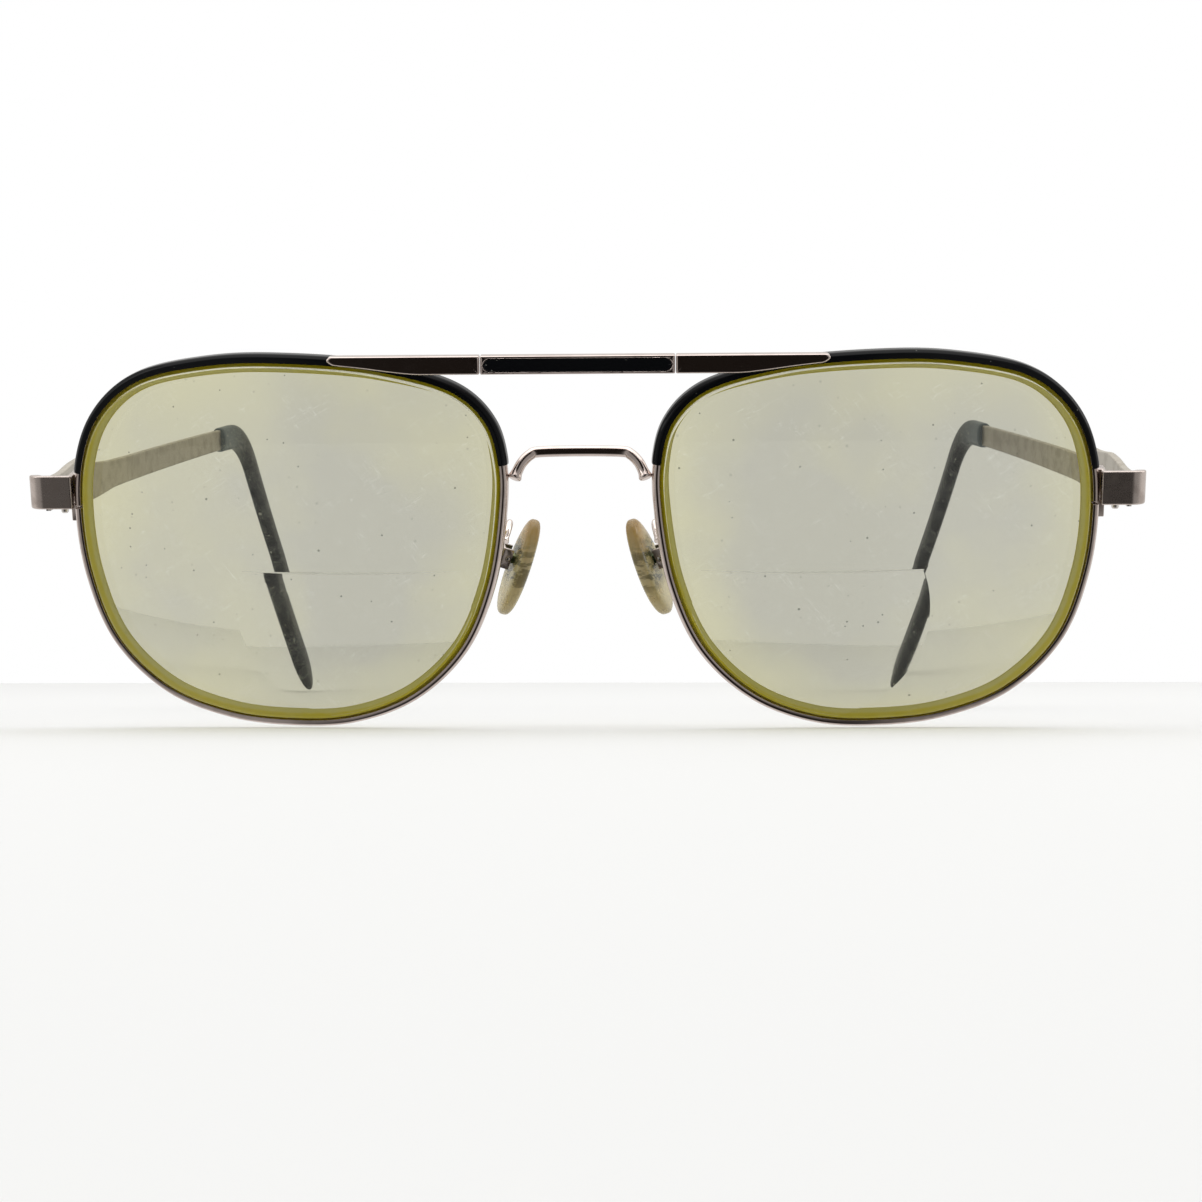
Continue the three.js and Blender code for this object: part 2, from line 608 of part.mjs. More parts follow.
// Looped wire from the back of the eyewire to the base of the pad box.
function padArm() {
  const root = new THREE.Vector3(PAD.mountAt, 0, BOSS.end - 1.05 - GAP).applyMatrix4(padFrame());
  return wire([[9.9, 4.3, 0.2], [9.5, 5.5, 1.3], [9.35, 7.1, 1.9], [9.8, 8.3, 1.1],
    [root.x - 0.15, root.y + 0.2, root.z + 2], root.toArray()], 0.45, 8, 20);
}

// ---------------------------------------------------------------- assembly

function mesh(name, geometry, look) {
  const piece = new THREE.Mesh(facingOut(geometry), new THREE.MeshStandardMaterial(look));
  piece.name = name;
  return piece;
}

// A left-hand piece and its mirror image, as two named meshes. The right-hand one may differ.
function pair(name, geometry, look, other = geometry) {
  const mirrored = other.clone().scale(-1, 1, 1);
  return [mesh(`${name}_left`, geometry, look), mesh(`${name}_right`, mirrored, look)];
}

const lensFront = new THREE.Group();
lensFront.rotation.x = PANTOSCOPIC;
lensFront.add(
  ...pair("eyewire", eyewire(), GUNMETAL),
  ...pair("rim_enamel", rimEnamel(), ENAMEL),
  ...pair("lens", lens(), TINTED),
  mesh("brow_bar", browBar(), GUNMETAL),
  mesh("brow_inlay", browInlay(), ENAMEL),
  ...pair("brow_wing", browWing(), GUNMETAL),
  mesh("lower_bridge", lowerBridge(), GUNMETAL),
  ...pair("rim_lock_upper", lockUpper(), GUNMETAL),
  ...pair("rim_lock_lower", lockLower(), GUNMETAL),
  ...pair("rim_lock_screw", lockScrew(), STEEL),
  ...pair("pad_arm", padArm(), GUNMETAL),
  ...pair("pad_box", padBox(), GUNMETAL),
  ...pair("pad_screw", padScrew(), STEEL),
  ...pair("pad_insert", padInsert(), VERDIGRIS),
  ...pair("nose_pad", nosePad(), PAD_PLASTIC),
);

const worn = new THREE.Group();
worn.add(
  lensFront,
  ...pair("end_piece", endPiece(), GUNMETAL),
  ...pair("hinge_front", hingeFront(), STEEL),
  ...pair("hinge_screw", hingeScrew(), STEEL),
  ...pair("hinge_temple", hingeTemple(), STEEL),
  ...pair("temple", temple(BOW_LEFT), GUNMETAL, temple(BOW_RIGHT)),
  ...pair("temple_tip", templeTip(BOW_LEFT), SLEEVE, templeTip(BOW_RIGHT)),
);

// Lean the worn frame back about X until eyewires and tips touch one level, then stand it there.
const spectacles = new THREE.Group();
spectacles.add(worn);
const boundsOf = (...names) => {
  spectacles.updateMatrixWorld(true);
  const bounds = new THREE.Box3();
  names.forEach((name) => bounds.expandByObject(spectacles.getObjectByName(name), true));
  return bounds;
};
let [leanLow, leanHigh] = [0, degToRad(20)];
for (let step = 0; step < 40; step += 1) {
  worn.rotation.x = (leanLow + leanHigh) / 2;
  const tipsAreLower = boundsOf("temple_tip_left").min.z < boundsOf("eyewire_left").min.z;
  if (tipsAreLower) leanLow = worn.rotation.x;
  else leanHigh = worn.rotation.x;
}
spectacles.updateMatrixWorld(true);
const whole = new THREE.Box3().setFromObject(spectacles, true);
worn.position.set(0, -(whole.min.y + whole.max.y) / 2, -whole.min.z);

export default spectacles;
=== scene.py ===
import json
import math

import bmesh
import bpy
import numpy as np
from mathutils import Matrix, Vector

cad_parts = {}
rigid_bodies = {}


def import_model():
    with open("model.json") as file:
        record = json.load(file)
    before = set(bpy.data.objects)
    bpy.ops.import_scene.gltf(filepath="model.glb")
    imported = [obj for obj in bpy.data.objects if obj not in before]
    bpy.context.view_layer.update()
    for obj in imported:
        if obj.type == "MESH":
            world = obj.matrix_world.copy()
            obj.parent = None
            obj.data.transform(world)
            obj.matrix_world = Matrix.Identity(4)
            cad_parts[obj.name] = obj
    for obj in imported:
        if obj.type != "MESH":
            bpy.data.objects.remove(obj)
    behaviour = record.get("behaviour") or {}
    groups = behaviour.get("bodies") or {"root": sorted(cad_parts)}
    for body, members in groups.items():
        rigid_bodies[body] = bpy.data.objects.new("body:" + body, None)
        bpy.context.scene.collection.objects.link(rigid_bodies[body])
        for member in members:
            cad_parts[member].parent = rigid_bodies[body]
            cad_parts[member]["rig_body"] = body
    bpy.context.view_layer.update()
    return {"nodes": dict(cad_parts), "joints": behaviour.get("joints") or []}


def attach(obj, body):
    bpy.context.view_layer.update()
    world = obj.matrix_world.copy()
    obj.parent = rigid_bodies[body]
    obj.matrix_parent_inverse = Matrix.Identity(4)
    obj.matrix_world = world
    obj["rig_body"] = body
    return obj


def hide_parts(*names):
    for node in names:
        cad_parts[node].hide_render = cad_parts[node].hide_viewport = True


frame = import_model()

JOINTS = {joint["name"]: joint for joint in frame["joints"]}
MM = 0.001

# ---------------------------------------------------------------- dimensions, in millimetres

PANTOSCOPIC = math.radians(7)
FACE_FORM = math.radians(6)
EYE_X = 38.2
FRONT_RADIUS, BACK_RADIUS = 88.0, 65.0
LENS_CENTRE = 2.0
BEVEL_SETBACK, BEVEL_HALF, BEVEL_HEIGHT = 1.25, 0.72, 0.52
EDGE_TAPER, LENS_PLAY = 1.1, 0.08
SEGMENT_U, SEGMENT_TOP, SEGMENT_RADIUS, SEGMENT_RISE, SEGMENT_POWER = -8.9, -2.6, 15.0, 5.7, 65.0
BAR_FRONT, BAR_BACK, BAR_TOP, BAR_BOTTOM = 1.05, 2.55, 25.0, 22.65
BAR_HALF, WING_END = 12.1, 31.4
INLAY_HALF, INLAY_HEIGHT, INLAY_DEPTH = 11.7, 1.5, 0.3
END_INNER, END_OUTER, END_FRONT, END_CORNER = 66.1, 71.9, 6.55, 2.0
END_PLATE, END_HEIGHT, END_Z = 1.3, 4.4, 6.9
HINGE = np.array([69.2, 15.2, 5.7])
BUTT_GAP, BUTT_HALF = 0.15, 2.05
TEMPLE_THICK, STRIP, BEND = 1.1, 82.0, 96.0
TIP_LENGTH, TIP_RADIUS, TIP_DROP, TIP_CURL = 56.5, 11.0, math.radians(70), math.radians(8)
TIP_TALL, TIP_THICK, CORE = 4.6, 2.8, 47.0
BOW_LEFT, BOW_RIGHT = 9.9, 7.6
PAD_TOP, PAD_BOTTOM, PAD_Y, PAD_WIDTH = (6.3, 1.4), (11.0, -10.8), 9.6, 7.6
PAD_SPLAY, PAD_MOUNT = math.radians(11), 0.9

EYE_OUTLINE = np.array([
    [27.7, 4.0], [27.2, 9.8], [25.5, 14.7], [22.4, 18.6], [18.1, 21.3], [9.0, 23.4], [0.6, 23.9],
    [-12.5, 22.9], [-22.4, 19.8], [-26.3, 15.7], [-27.7, 10.5], [-27.7, 5.0], [-26.0, -5.1],
    [-22.2, -13.7], [-15.6, -20.1], [-7.6, -23.3], [0.6, -23.9], [8.7, -23.2], [17.0, -20.3],
    [23.6, -13.9], [26.8, -5.0],
])
SPLIT_SHARE = 0.0011
ENAMEL_FROM, ENAMEL_TO = 0.74, 10.0

# ---------------------------------------------------------------- axes


def about_x(points, angle):
    """Points turned about X by angle."""
    x, y, z = np.moveaxis(np.asarray(points, float), -1, 0)
    c, s = math.cos(angle), math.sin(angle)
    return np.stack([x, c * y - s * z, s * y + c * z], -1)


def about_z(points, angle):
    """Points turned about Z by angle."""
    x, y, z = np.moveaxis(np.asarray(points, float), -1, 0)
    c, s = math.cos(angle), math.sin(angle)
    return np.stack([c * x - s * y, s * x + c * y, z], -1)


FOLD = JOINTS["temple_left_fold"]
LEAN = math.atan2(-FOLD["axis"][1], FOLD["axis"][2])
WORN_PLACE = np.array(FOLD["pos_m"]) - about_x(HINGE, LEAN) * MM


def from_worn(points):
    """Worn frame in millimetres to the table in metres: leaned back, then set down."""
    return about_x(points, LEAN) * MM + WORN_PLACE


def from_front(points):
    """Lens front to the table."""
    return from_worn(about_x(points, PANTOSCOPIC))


def from_lens(points):
    """Left lens axes to the table: turned by the face form and moved out to the eye."""
    return from_front(about_z(points, FACE_FORM) + [EYE_X, 0, 0])


def unit(vectors):
    """Vectors brought to length one."""
    return vectors / np.linalg.norm(vectors, axis=-1, keepdims=True)


def pad_axes():
    """Centre of the left pad and its axes: up its length, across to the rear, out of its face."""
    top, bottom = np.array(PAD_TOP), np.array(PAD_BOTTOM)
    along = unit(np.array([top[0] - bottom[0], 0, top[1] - bottom[1]]))
    flat = np.array([-along[2], 0, along[0]])
    rear = np.array([0.0, 1, 0])
    face = flat * math.cos(PAD_SPLAY) + rear * math.sin(PAD_SPLAY)
    across = rear * math.cos(PAD_SPLAY) - flat * math.sin(PAD_SPLAY)
    middle = (top + bottom) / 2
    return np.array([middle[0], PAD_Y, middle[1]]), np.stack([along, across, face])


PAD_CENTRE, PAD_BASIS = pad_axes()


def from_pad(points):
    """Left pad axes to the table."""
    return from_front(PAD_CENTRE + np.asarray(points, float) @ PAD_BASIS)


# ---------------------------------------------------------------- curves and sections


def smoothstep(x, low, high):
    """0 below low, 1 above high and t * t * (3 - 2 * t) between."""
    t = np.clip((np.asarray(x, float) - low) / (high - low), 0, 1)
    return t * t * (3 - 2 * t)


def spline_at(points, t, closed=False, power=0.0):
    """Catmull-Rom spline at shares t of its spans, with knots spaced by distance to a power."""
    points = np.asarray(points, float)
    spans = len(points) if closed else len(points) - 1
    x = np.clip(t, 0, 1) * spans
    i = np.minimum(np.floor(x).astype(int), spans - 1)
    f = (x - i)[:, None]
    if closed:
        p = [points[(i + k) % len(points)] for k in (-1, 0, 1, 2)]
    else:
        ends = [2 * points[:1] - points[1:2], points, 2 * points[-1:] - points[-2:-1]]
        longer = np.concatenate(ends)
        p = [longer[i + k] for k in range(4)]
    d = [np.linalg.norm(p[k + 1] - p[k], axis=-1, keepdims=True) ** power for k in range(3)]
    m1 = (p[1] - p[0]) / d[0] - (p[2] - p[0]) / (d[0] + d[1]) + (p[2] - p[1]) / d[1]
    m2 = (p[2] - p[1]) / d[1] - (p[3] - p[1]) / (d[1] + d[2]) + (p[3] - p[2]) / d[2]
    m1, m2 = m1 * d[1], m2 * d[1]
    c2 = 3 * (p[2] - p[1]) - 2 * m1 - m2
    c3 = 2 * (p[1] - p[2]) + m1 + m2
    return p[1] + f * (m1 + f * (c2 + f * c3))


def measured(points):
    """A dense polyline as (length, function from distances along it to points)."""
    points = np.asarray(points, float)
    steps = np.linalg.norm(np.diff(points, axis=0), axis=-1)
    at = np.concatenate([[0], np.cumsum(steps)])

    def point(s):
        """Points of the polyline at distances along it."""
        return np.stack([np.interp(s, at, points[:, k]) for k in range(points.shape[1])], -1)

    return at[-1], point


def rounded(corners, radius, steps=4):
    """Closed polygon whose corners are parabolic arcs of a reach each, with a point just outside
    both ends of an arc, so that the flats between arcs stay flat when shaded."""
    corners = np.asarray(corners, float)
    back, ahead = np.roll(corners, 1, 0) - corners, np.roll(corners, -1, 0) - corners
    reach_back = np.minimum(radius, 0.4 * np.linalg.norm(back, axis=-1))[:, None]
    reach_on = np.minimum(radius, 0.4 * np.linalg.norm(ahead, axis=-1))[:, None]
    back, ahead = unit(back), unit(ahead)
    a, b = corners + back * reach_back, corners + ahead * reach_on
    t = np.linspace(0, 1, steps)[None, :, None]
    arc = (1 - t) ** 2 * a[:, None] + 2 * t * (1 - t) * corners[:, None] + t * t * b[:, None]
    before = (corners + back * reach_back * 1.2)[:, None]
    after = (corners + ahead * reach_on * 1.2)[:, None]
    return np.concatenate([before, arc, after], 1).reshape(-1, 2)


def outward(outline):
    """Outward unit normals of a closed outline in a plane."""
    tangent = unit(np.roll(outline, -1, 0) - np.roll(outline, 1, 0))
    normal = np.stack([tangent[:, 1], -tangent[:, 0]], -1)
    x, z = outline.T
    area = (x * np.roll(z, -1) - np.roll(x, -1) * z).sum()
    return normal if area > 0 else -normal


def rounded_box(half_x, half_z, radius, per_corner=8, per_side=20):
    """Box outline with corner arcs. Outlines made with equal counts match point for point."""
    angle = np.linspace(0, math.pi / 2, per_corner)
    arcs = []
    for quarter, (sx, sz) in enumerate([(1, 1), (-1, 1), (-1, -1), (1, -1)]):
        turn = angle + quarter * math.pi / 2
        centre = np.array([sx * (half_x - radius), sz * (half_z - radius)])
        arcs.append(centre + radius * np.stack([np.cos(turn), np.sin(turn)], -1))
    share = np.linspace(0, 1, per_side + 2)[1:-1, None]
    sides = [arcs[k][-1] + share * (arcs[(k + 1) % 4][0] - arcs[k][-1]) for k in range(4)]
    return np.concatenate([part for k in range(4) for part in (arcs[k], sides[k])])


def eased_stations(length, ease, count):
    """Distances along a piece of that length with round ends of that ease, and how far its
    section is inset at each: ease * (1 - sin) at a distance of ease * (1 - cos) from an end."""
    turn = np.linspace(0, math.pi / 2, 6)
    near, inset = ease * (1 - np.cos(turn)), ease * (1 - np.sin(turn))
    middle = np.linspace(ease, length - ease, count)[1:-1]
    return (np.concatenate([near, middle, length - near[::-1]]),
            np.concatenate([inset, np.zeros(len(middle)), inset[::-1]]))


def carried(path, length, s, guide, sections):
    """Sections carried along a path: their first direction is guide x tangent and their second the
    guide made square to the tangent."""
    h = length * 1e-3
    tangent = unit(path(np.minimum(s + h, length)) - path(np.maximum(s - h, 0)))
    guide = np.broadcast_to(np.asarray(guide, float), tangent.shape)
    across = unit(guide - (guide * tangent).sum(-1, keepdims=True) * tangent)
    out = np.cross(across, tangent)
    return path(s)[:, None] + sections[..., :1] * out[:, None] + sections[..., 1:] * across[:, None]


def sweep(path, length, guide, section, ease, count, kernel=(0.0, 0.0)):
    """One section carried along a path with eased ends, closed at its kernel point."""
    s, inset = eased_stations(length, ease, count)
    sections = section[None] - inset[:, None, None] * outward(section)[None]
    grid = carried(path, length, s, guide, sections)
    middle = carried(path, length, s[[0, -1]], guide, np.broadcast_to(kernel, (2, 1, 2)))
    columns = len(section)
    first, last = [np.repeat(point[None], columns, 1) for point in middle]
    return np.concatenate([first, grid, last])


def closed_ends(grid):
    """A grid with its first and last rows drawn together to their middle points."""
    first, last = [np.broadcast_to(row.mean(0), row.shape)[None] for row in (grid[0], grid[-1])]
    return np.concatenate([first, grid, last])


def tube(points, radius, guide, count, sides, ease, flare, flare_reach):
    """Round wire through points, thicker at its brazed ends: radius + flare * exp(-(s / reach)^2)
    at a distance of s from an end."""
    length, path = measured(spline_at(points, np.linspace(0, 1, 60 * len(points))))
    s, inset = eased_stations(length, ease, count)
    angle = np.arange(sides) * 2 * math.pi / sides
    circle = np.stack([np.cos(angle), np.sin(angle)], -1)
    end = np.minimum(s, length - s)
    size = radius + flare * np.exp(-(end / flare_reach) ** 2) - inset
    return closed_ends(carried(path, length, s, guide, size[:, None, None] * circle[None]))


def slab(outline, spine, front, back, ease):
    """Plate with an (x, z) outline: from its spine out over the front, round an eased edge, down
    the side and in again over the back. The spine maps x to the height that the faces close on."""
    normal = outward(outline)
    low, high, middle = spine
    closing = np.stack([np.clip(outline[:, 0], low, high), np.zeros(len(outline))], -1)
    closing[:, 1] = middle(closing[:, 0])
    turn = np.linspace(0, math.pi / 2, 5)
    inset = np.concatenate([[1.3 * ease], ease * (1 - np.sin(turn)), [0]])
    depth = np.concatenate([[0], ease * (1 - np.cos(turn)), [ease * 1.3]])
    rings = [(closing, front)]
    rings += [(outline - by * normal, front + at) for by, at in zip(inset, depth)]
    rings += [(outline - by * normal, back - at) for by, at in zip(inset[::-1], depth[::-1])]
    rings.append((closing, back))
    return np.stack([np.stack([r[:, 0], np.full(len(r), y), r[:, 1]], -1) for r, y in rings])


# ---------------------------------------------------------------- meshes

WELD_REACH, CAD_WELD_REACH = 0.0002 * MM, 0.002 * MM
SHARP_FROM = math.radians(35)


def joined_quads(rows, columns, offset):
    """Vertex numbers of the faces between neighbouring rows of a grid with closed columns."""
    r, c = np.arange(rows - 1)[:, None], np.arange(columns)[None]
    nxt = (c + 1) % columns
    corners = [r * columns + c, r * columns + nxt, (r + 1) * columns + nxt, (r + 1) * columns + c]
    return np.stack(corners, -1).reshape(-1, 4) + offset


def volume_of(points, quads):
    """Six times the signed volume that quads enclose, from the two triangles of each."""
    p = points - points.mean(0)
    a, b, c, d = (p[quads[:, k]] for k in range(4))
    return (a * np.cross(b, c)).sum() + (a * np.cross(c, d)).sum()


def make_piece(name, grids, finishes, body, slot, nodes, row_finish=None, marks=None):
    """Mesh object from closed grids already on the table, with doubled points merged, that rides
    on a body and stands for CAD nodes. marks is a named value for each point."""
    points = np.concatenate([grid.reshape(-1, 3) for grid in grids])
    quads, offset = [], 0
    for grid in grids:
        part = joined_quads(grid.shape[0], grid.shape[1], offset)
        quads.append(part if volume_of(points, part) > 0 else part[:, ::-1])
        offset += grid.shape[0] * grid.shape[1]
    quads = np.concatenate(quads).astype(np.int32)
    mesh = bpy.data.meshes.new(name)
    mesh.vertices.add(len(points))
    mesh.vertices.foreach_set("co", points.astype(np.float32).ravel())
    mesh.loops.add(quads.size)
    mesh.loops.foreach_set("vertex_index", quads.ravel())
    mesh.polygons.add(len(quads))
    mesh.polygons.foreach_set("loop_start", np.arange(0, quads.size, 4, dtype=np.int32))
    if row_finish is not None:
        columns = grids[0].shape[1]
        mesh.polygons.foreach_set("material_index", np.repeat(row_finish, columns).astype(np.int32))
    mesh.update(calc_edges=True)
    for label, values in (marks or {}).items():
        mark = mesh.attributes.new(label, "FLOAT", "POINT")
        mark.data.foreach_set("value", values.astype(np.float32).ravel())
    weld(mesh)
    for finish in finishes:
        mesh.materials.append(finish)
    piece = bpy.data.objects.new(name, mesh)
    bpy.context.scene.collection.objects.link(piece)
    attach(piece, body)
    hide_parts(*nodes)
    return piece


def weld(mesh, reach=WELD_REACH):
    """Doubled points merged, and every face shaded smooth."""
    work = bmesh.new()
    work.from_mesh(mesh)
    bmesh.ops.remove_doubles(work, verts=work.verts, dist=reach)
    for face in work.faces:
        face.smooth = True
    work.to_mesh(mesh)
    work.free()
    mesh.update()


def both_sides(name, grids, place, finishes, slot, body="front", other=None, **more):
    """The left-hand piece and its mirror image, or the mirror image of another one. A body given
    as "temple" means temple_left and temple_right, and so on."""
    for side, sign, made in (("left", 1, grids), ("right", -1, other or grids)):
        placed = [place(grid) * [sign, 1, 1] for grid in made]
        on = body if body == "front" else f"{body}_{side}"
        make_piece(f"fine_{name}_{side}", placed, finishes, on, slot, [f"{name}_{side}"], **more)


def eased_copy(node, finish, slot, width):
    """Copy of a small machined CAD node with its doubled points merged and its corners eased."""
    source = frame["nodes"][node]
    mesh = source.data.copy()
    mesh.name = f"eased_{node}"
    weld(mesh, CAD_WELD_REACH)
    mesh.materials.clear()
    mesh.materials.append(finish)
    piece = bpy.data.objects.new(f"eased_{node}", mesh)
    bpy.context.scene.collection.objects.link(piece)
    bevel = piece.modifiers.new("eased corners", "BEVEL")
    bevel.width = width * MM
    bevel.segments = 2
    bevel.limit_method = "ANGLE"
    bevel.angle_limit = SHARP_FROM
    bevel.harden_normals = True
    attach(piece, source["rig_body"])
    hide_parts(node)


# ---------------------------------------------------------------- finishes


def add(tree, kind, inputs=None, **settings):
    """A node with its settings and its inputs, each a value or another node's output."""
    made = tree.nodes.new(kind)
    for key, value in settings.items():
        setattr(made, key, value)
    for key, value in (inputs or {}).items():
        if isinstance(value, bpy.types.NodeSocket):
            tree.links.new(value, made.inputs[key])
        else:
            made.inputs[key].default_value = value
    return made


def sums(tree, operation, a, b=0.0, clamp=False):
    """One arithmetic step on two values."""
    return add(tree, "ShaderNodeMath", {0: a, 1: b}, operation=operation, use_clamp=clamp).outputs[0]


def ramped(tree, value, low, high, to_low=0.0, to_high=1.0):
    """Value taken smoothly from low..high to to_low..to_high."""
    inputs = {"Value": value, "From Min": low, "From Max": high, "To Min": to_low, "To Max": to_high}
    return add(tree, "ShaderNodeMapRange", inputs, interpolation_type="SMOOTHSTEP").outputs[0]


def times(tree, a, b):
    """The product of two values."""
    return sums(tree, "MULTIPLY", a, b)


def blended(tree, share, a, b):
    """Colour a gone over to colour b by a share."""
    return add(tree, "ShaderNodeMix", {0: share, 6: a, 7: b}, data_type="RGBA").outputs[2]


def marked(tree, colour, mask, strength, paint):
    """Colour with paint over it where a mask is set."""
    return blended(tree, times(tree, mask, strength), colour, paint)


def mark_of(tree, name):
    """The value that a mesh carries at its points under a name."""
    return add(tree, "ShaderNodeAttribute", attribute_name=name).outputs["Fac"]


def noise(tree, at, scale, detail=3.0, rough=0.5):
    """Cloudy noise, its scale in clouds per metre."""
    inputs = {"Vector": at, "Scale": scale, "Detail": detail, "Roughness": rough}
    return add(tree, "ShaderNodeTexNoise", inputs).outputs[0]


def stretched(tree, at, scale, turn=(0, 0, 0)):
    """Place stretched and turned."""
    return add(tree, "ShaderNodeMapping", {"Vector": at, "Scale": scale, "Rotation": turn}).outputs[0]


def object_point(tree, scale=(1, 1, 1), turn=(0, 0, 0)):
    """Place on the piece in its own axes, stretched and turned."""
    return stretched(tree, add(tree, "ShaderNodeTexCoord").outputs["Object"], scale, turn)


def new_group(name, inputs, outputs):
    """Shader node group with (name, kind, default) inputs and (name, kind) outputs."""
    tree = bpy.data.node_groups.new(name, "ShaderNodeTree")
    for label, kind, default in inputs:
        tree.interface.new_socket(label, in_out="INPUT", socket_type=kind).default_value = default
    for label, kind in outputs:
        tree.interface.new_socket(label, in_out="OUTPUT", socket_type=kind)
    return tree, tree.nodes.new("NodeGroupInput"), tree.nodes.new("NodeGroupOutput")


FLOAT, COLOUR = "NodeSocketFloat", "NodeSocketColor"


def tarnish_group():
    """Plating with cloudy tarnish, fine rubbing marks and pores."""
    tree, given, out = new_group("worn plating", [
        ("Plate", COLOUR, (0.5, 0.5, 0.5, 1)), ("Tarnish", COLOUR, (0.2, 0.2, 0.2, 1)),
        ("Cloud scale", FLOAT, 300.0), ("Amount", FLOAT, 0.5), ("Polish", FLOAT, 0.15),
        ("Dulling", FLOAT, 0.2),
    ], [("Colour", COLOUR), ("Roughness", FLOAT), ("Height", FLOAT)])
    at = object_point(tree)
    cloud = ramped(tree, noise(tree, at, given.outputs["Cloud scale"], 5, 0.62), 0.42, 0.66)
    speck = ramped(tree, noise(tree, at, 4200.0, 2, 0.6), 0.6, 0.72)
    share = times(tree, sums(tree, "MAXIMUM", cloud, times(tree, speck, 0.6)), given.outputs["Amount"])
    colour = blended(tree, share, given.outputs["Plate"], given.outputs["Tarnish"])
    rub = noise(tree, object_point(tree, (1, 1, 12)), 900.0, 3, 0.7)
    dulled = times(tree, share, given.outputs["Dulling"])
    rubbed = times(tree, sums(tree, "SUBTRACT", rub, 0.5), 0.08)
    rough = sums(tree, "ADD", sums(tree, "ADD", given.outputs["Polish"], dulled), rubbed)
    tree.links.new(colour, out.inputs["Colour"])
    tree.links.new(rough, out.inputs["Roughness"])
    tree.links.new(sums(tree, "ADD", times(tree, speck, -0.4), rub), out.inputs["Height"])
    return tree


def dust_group():
    """Scattered specks: centres of Voronoi cells, of which only a share is kept, each a dot of its
    own size."""
    tree, given, out = new_group("dust specks", [
        ("Density", FLOAT, 400.0), ("Size", FLOAT, 0.12), ("Share", FLOAT, 0.5),
    ], [("Mask", FLOAT)])
    spread = {"Vector": object_point(tree), "Scale": given.outputs["Density"]}
    cells = add(tree, "ShaderNodeTexVoronoi", spread)
    pick = add(tree, "ShaderNodeSeparateColor", {0: cells.outputs["Color"]})
    kept = sums(tree, "LESS_THAN", pick.outputs[0], given.outputs["Share"])
    size = times(tree, given.outputs["Size"], sums(tree, "ADD", pick.outputs[1], 0.35))
    dot = sums(tree, "LESS_THAN", cells.outputs["Distance"], size)
    tree.links.new(times(tree, dot, kept), out.inputs["Mask"])
    return tree


def scratch_group():
    """Hairline scratches: the thin level lines of two stretched noises, gated by a third."""
    tree, given, out = new_group("hairline scratches", [
        ("Fineness", FLOAT, 60.0), ("Width", FLOAT, 0.004), ("Share", FLOAT, 0.5),
    ], [("Mask", FLOAT)])
    lines = []
    for turn, stretch in ((0.5, 14), (-0.9, 22)):
        at = stretched(tree, object_point(tree, turn=(0, turn, 0)), (1, 1, stretch))
        level = noise(tree, at, given.outputs["Fineness"], 2, 0.55)
        gap = sums(tree, "ABSOLUTE", sums(tree, "SUBTRACT", level, 0.5))
        lines.append(sums(tree, "LESS_THAN", gap, given.outputs["Width"]))
    gate = noise(tree, object_point(tree), 260.0, 3, 0.6)
    opened = sums(tree, "ADD", gate, times(tree, given.outputs["Share"], 0.2))
    kept = ramped(tree, opened, 0.58, 0.66)
    tree.links.new(times(tree, sums(tree, "MAXIMUM", *lines), kept), out.inputs["Mask"])
    return tree


TARNISH, DUST, SCRATCHES = tarnish_group(), dust_group(), scratch_group()


def grouped(tree, group, **inputs):
    """A group's node with its inputs, each a value or another node's output."""
    made = tree.nodes.new("ShaderNodeGroup")
    made.node_tree = group
    for label, value in inputs.items():
        socket = made.inputs[label.replace("_", " ")]
        if isinstance(value, bpy.types.NodeSocket):
            tree.links.new(value, socket)
        else:
            socket.default_value = value
    return made


def new_material(name, **plain):
    """Material with a Principled shader whose plain sockets are set by name."""
    material = bpy.data.materials.new(name)
    material.use_nodes = True
    tree = material.node_tree
    shader = next(n for n in tree.nodes if n.type == "BSDF_PRINCIPLED")
    for label, value in plain.items():
        shader.inputs[label.replace("_", " ")].default_value = value
    return material, tree, shader


def coated(tree, shader, colour, rough):
    """Joins a colour and a roughness to the shader."""
    tree.links.new(colour, shader.inputs["Base Color"])
    tree.links.new(rough, shader.inputs["Roughness"])


def raised(tree, shader, height, strength, distance):
    """Joins a height to the shader as bump."""
    made = add(tree, "ShaderNodeBump", {"Height": height, "Strength": strength, "Distance": distance})
    tree.links.new(made.outputs[0], shader.inputs["Normal"])


def plated(name, plate, tarnish, cloud, amount, polish, dulling, bump=0.05):
    """Plated metal: its colour and its tarnish's, how fine and how strong the clouds of tarnish
    are, how rough the polished plate is and how much rougher the tarnish."""
    material, tree, shader = new_material(name, Metallic=1.0)
    worn = grouped(tree, TARNISH, Plate=(*plate, 1), Tarnish=(*tarnish, 1), Cloud_scale=cloud,
                   Amount=amount, Polish=polish, Dulling=dulling)
    coated(tree, shader, worn.outputs["Colour"], worn.outputs["Roughness"])
    raised(tree, shader, worn.outputs["Height"], bump, 2e-5)
    return material


def gloss_enamel():
    """Poured black enamel: nearly smooth, with a slow ripple and a little dust."""
    material, tree, shader = new_material("black enamel", IOR=1.45, Specular_IOR_Level=0.13)
    dust = grouped(tree, DUST, Density=1500.0, Size=0.14, Share=0.1).outputs[0]
    colour = blended(tree, dust, (0.0035, 0.0038, 0.0045, 1), (0.10, 0.10, 0.09, 1))
    ripple = noise(tree, object_point(tree), 420.0, 2, 0.4)
    coated(tree, shader, colour, ramped(tree, ripple, 0.2, 0.8, 0.05, 0.13))
    raised(tree, shader, ripple, 0.12, 6e-5)
    return material


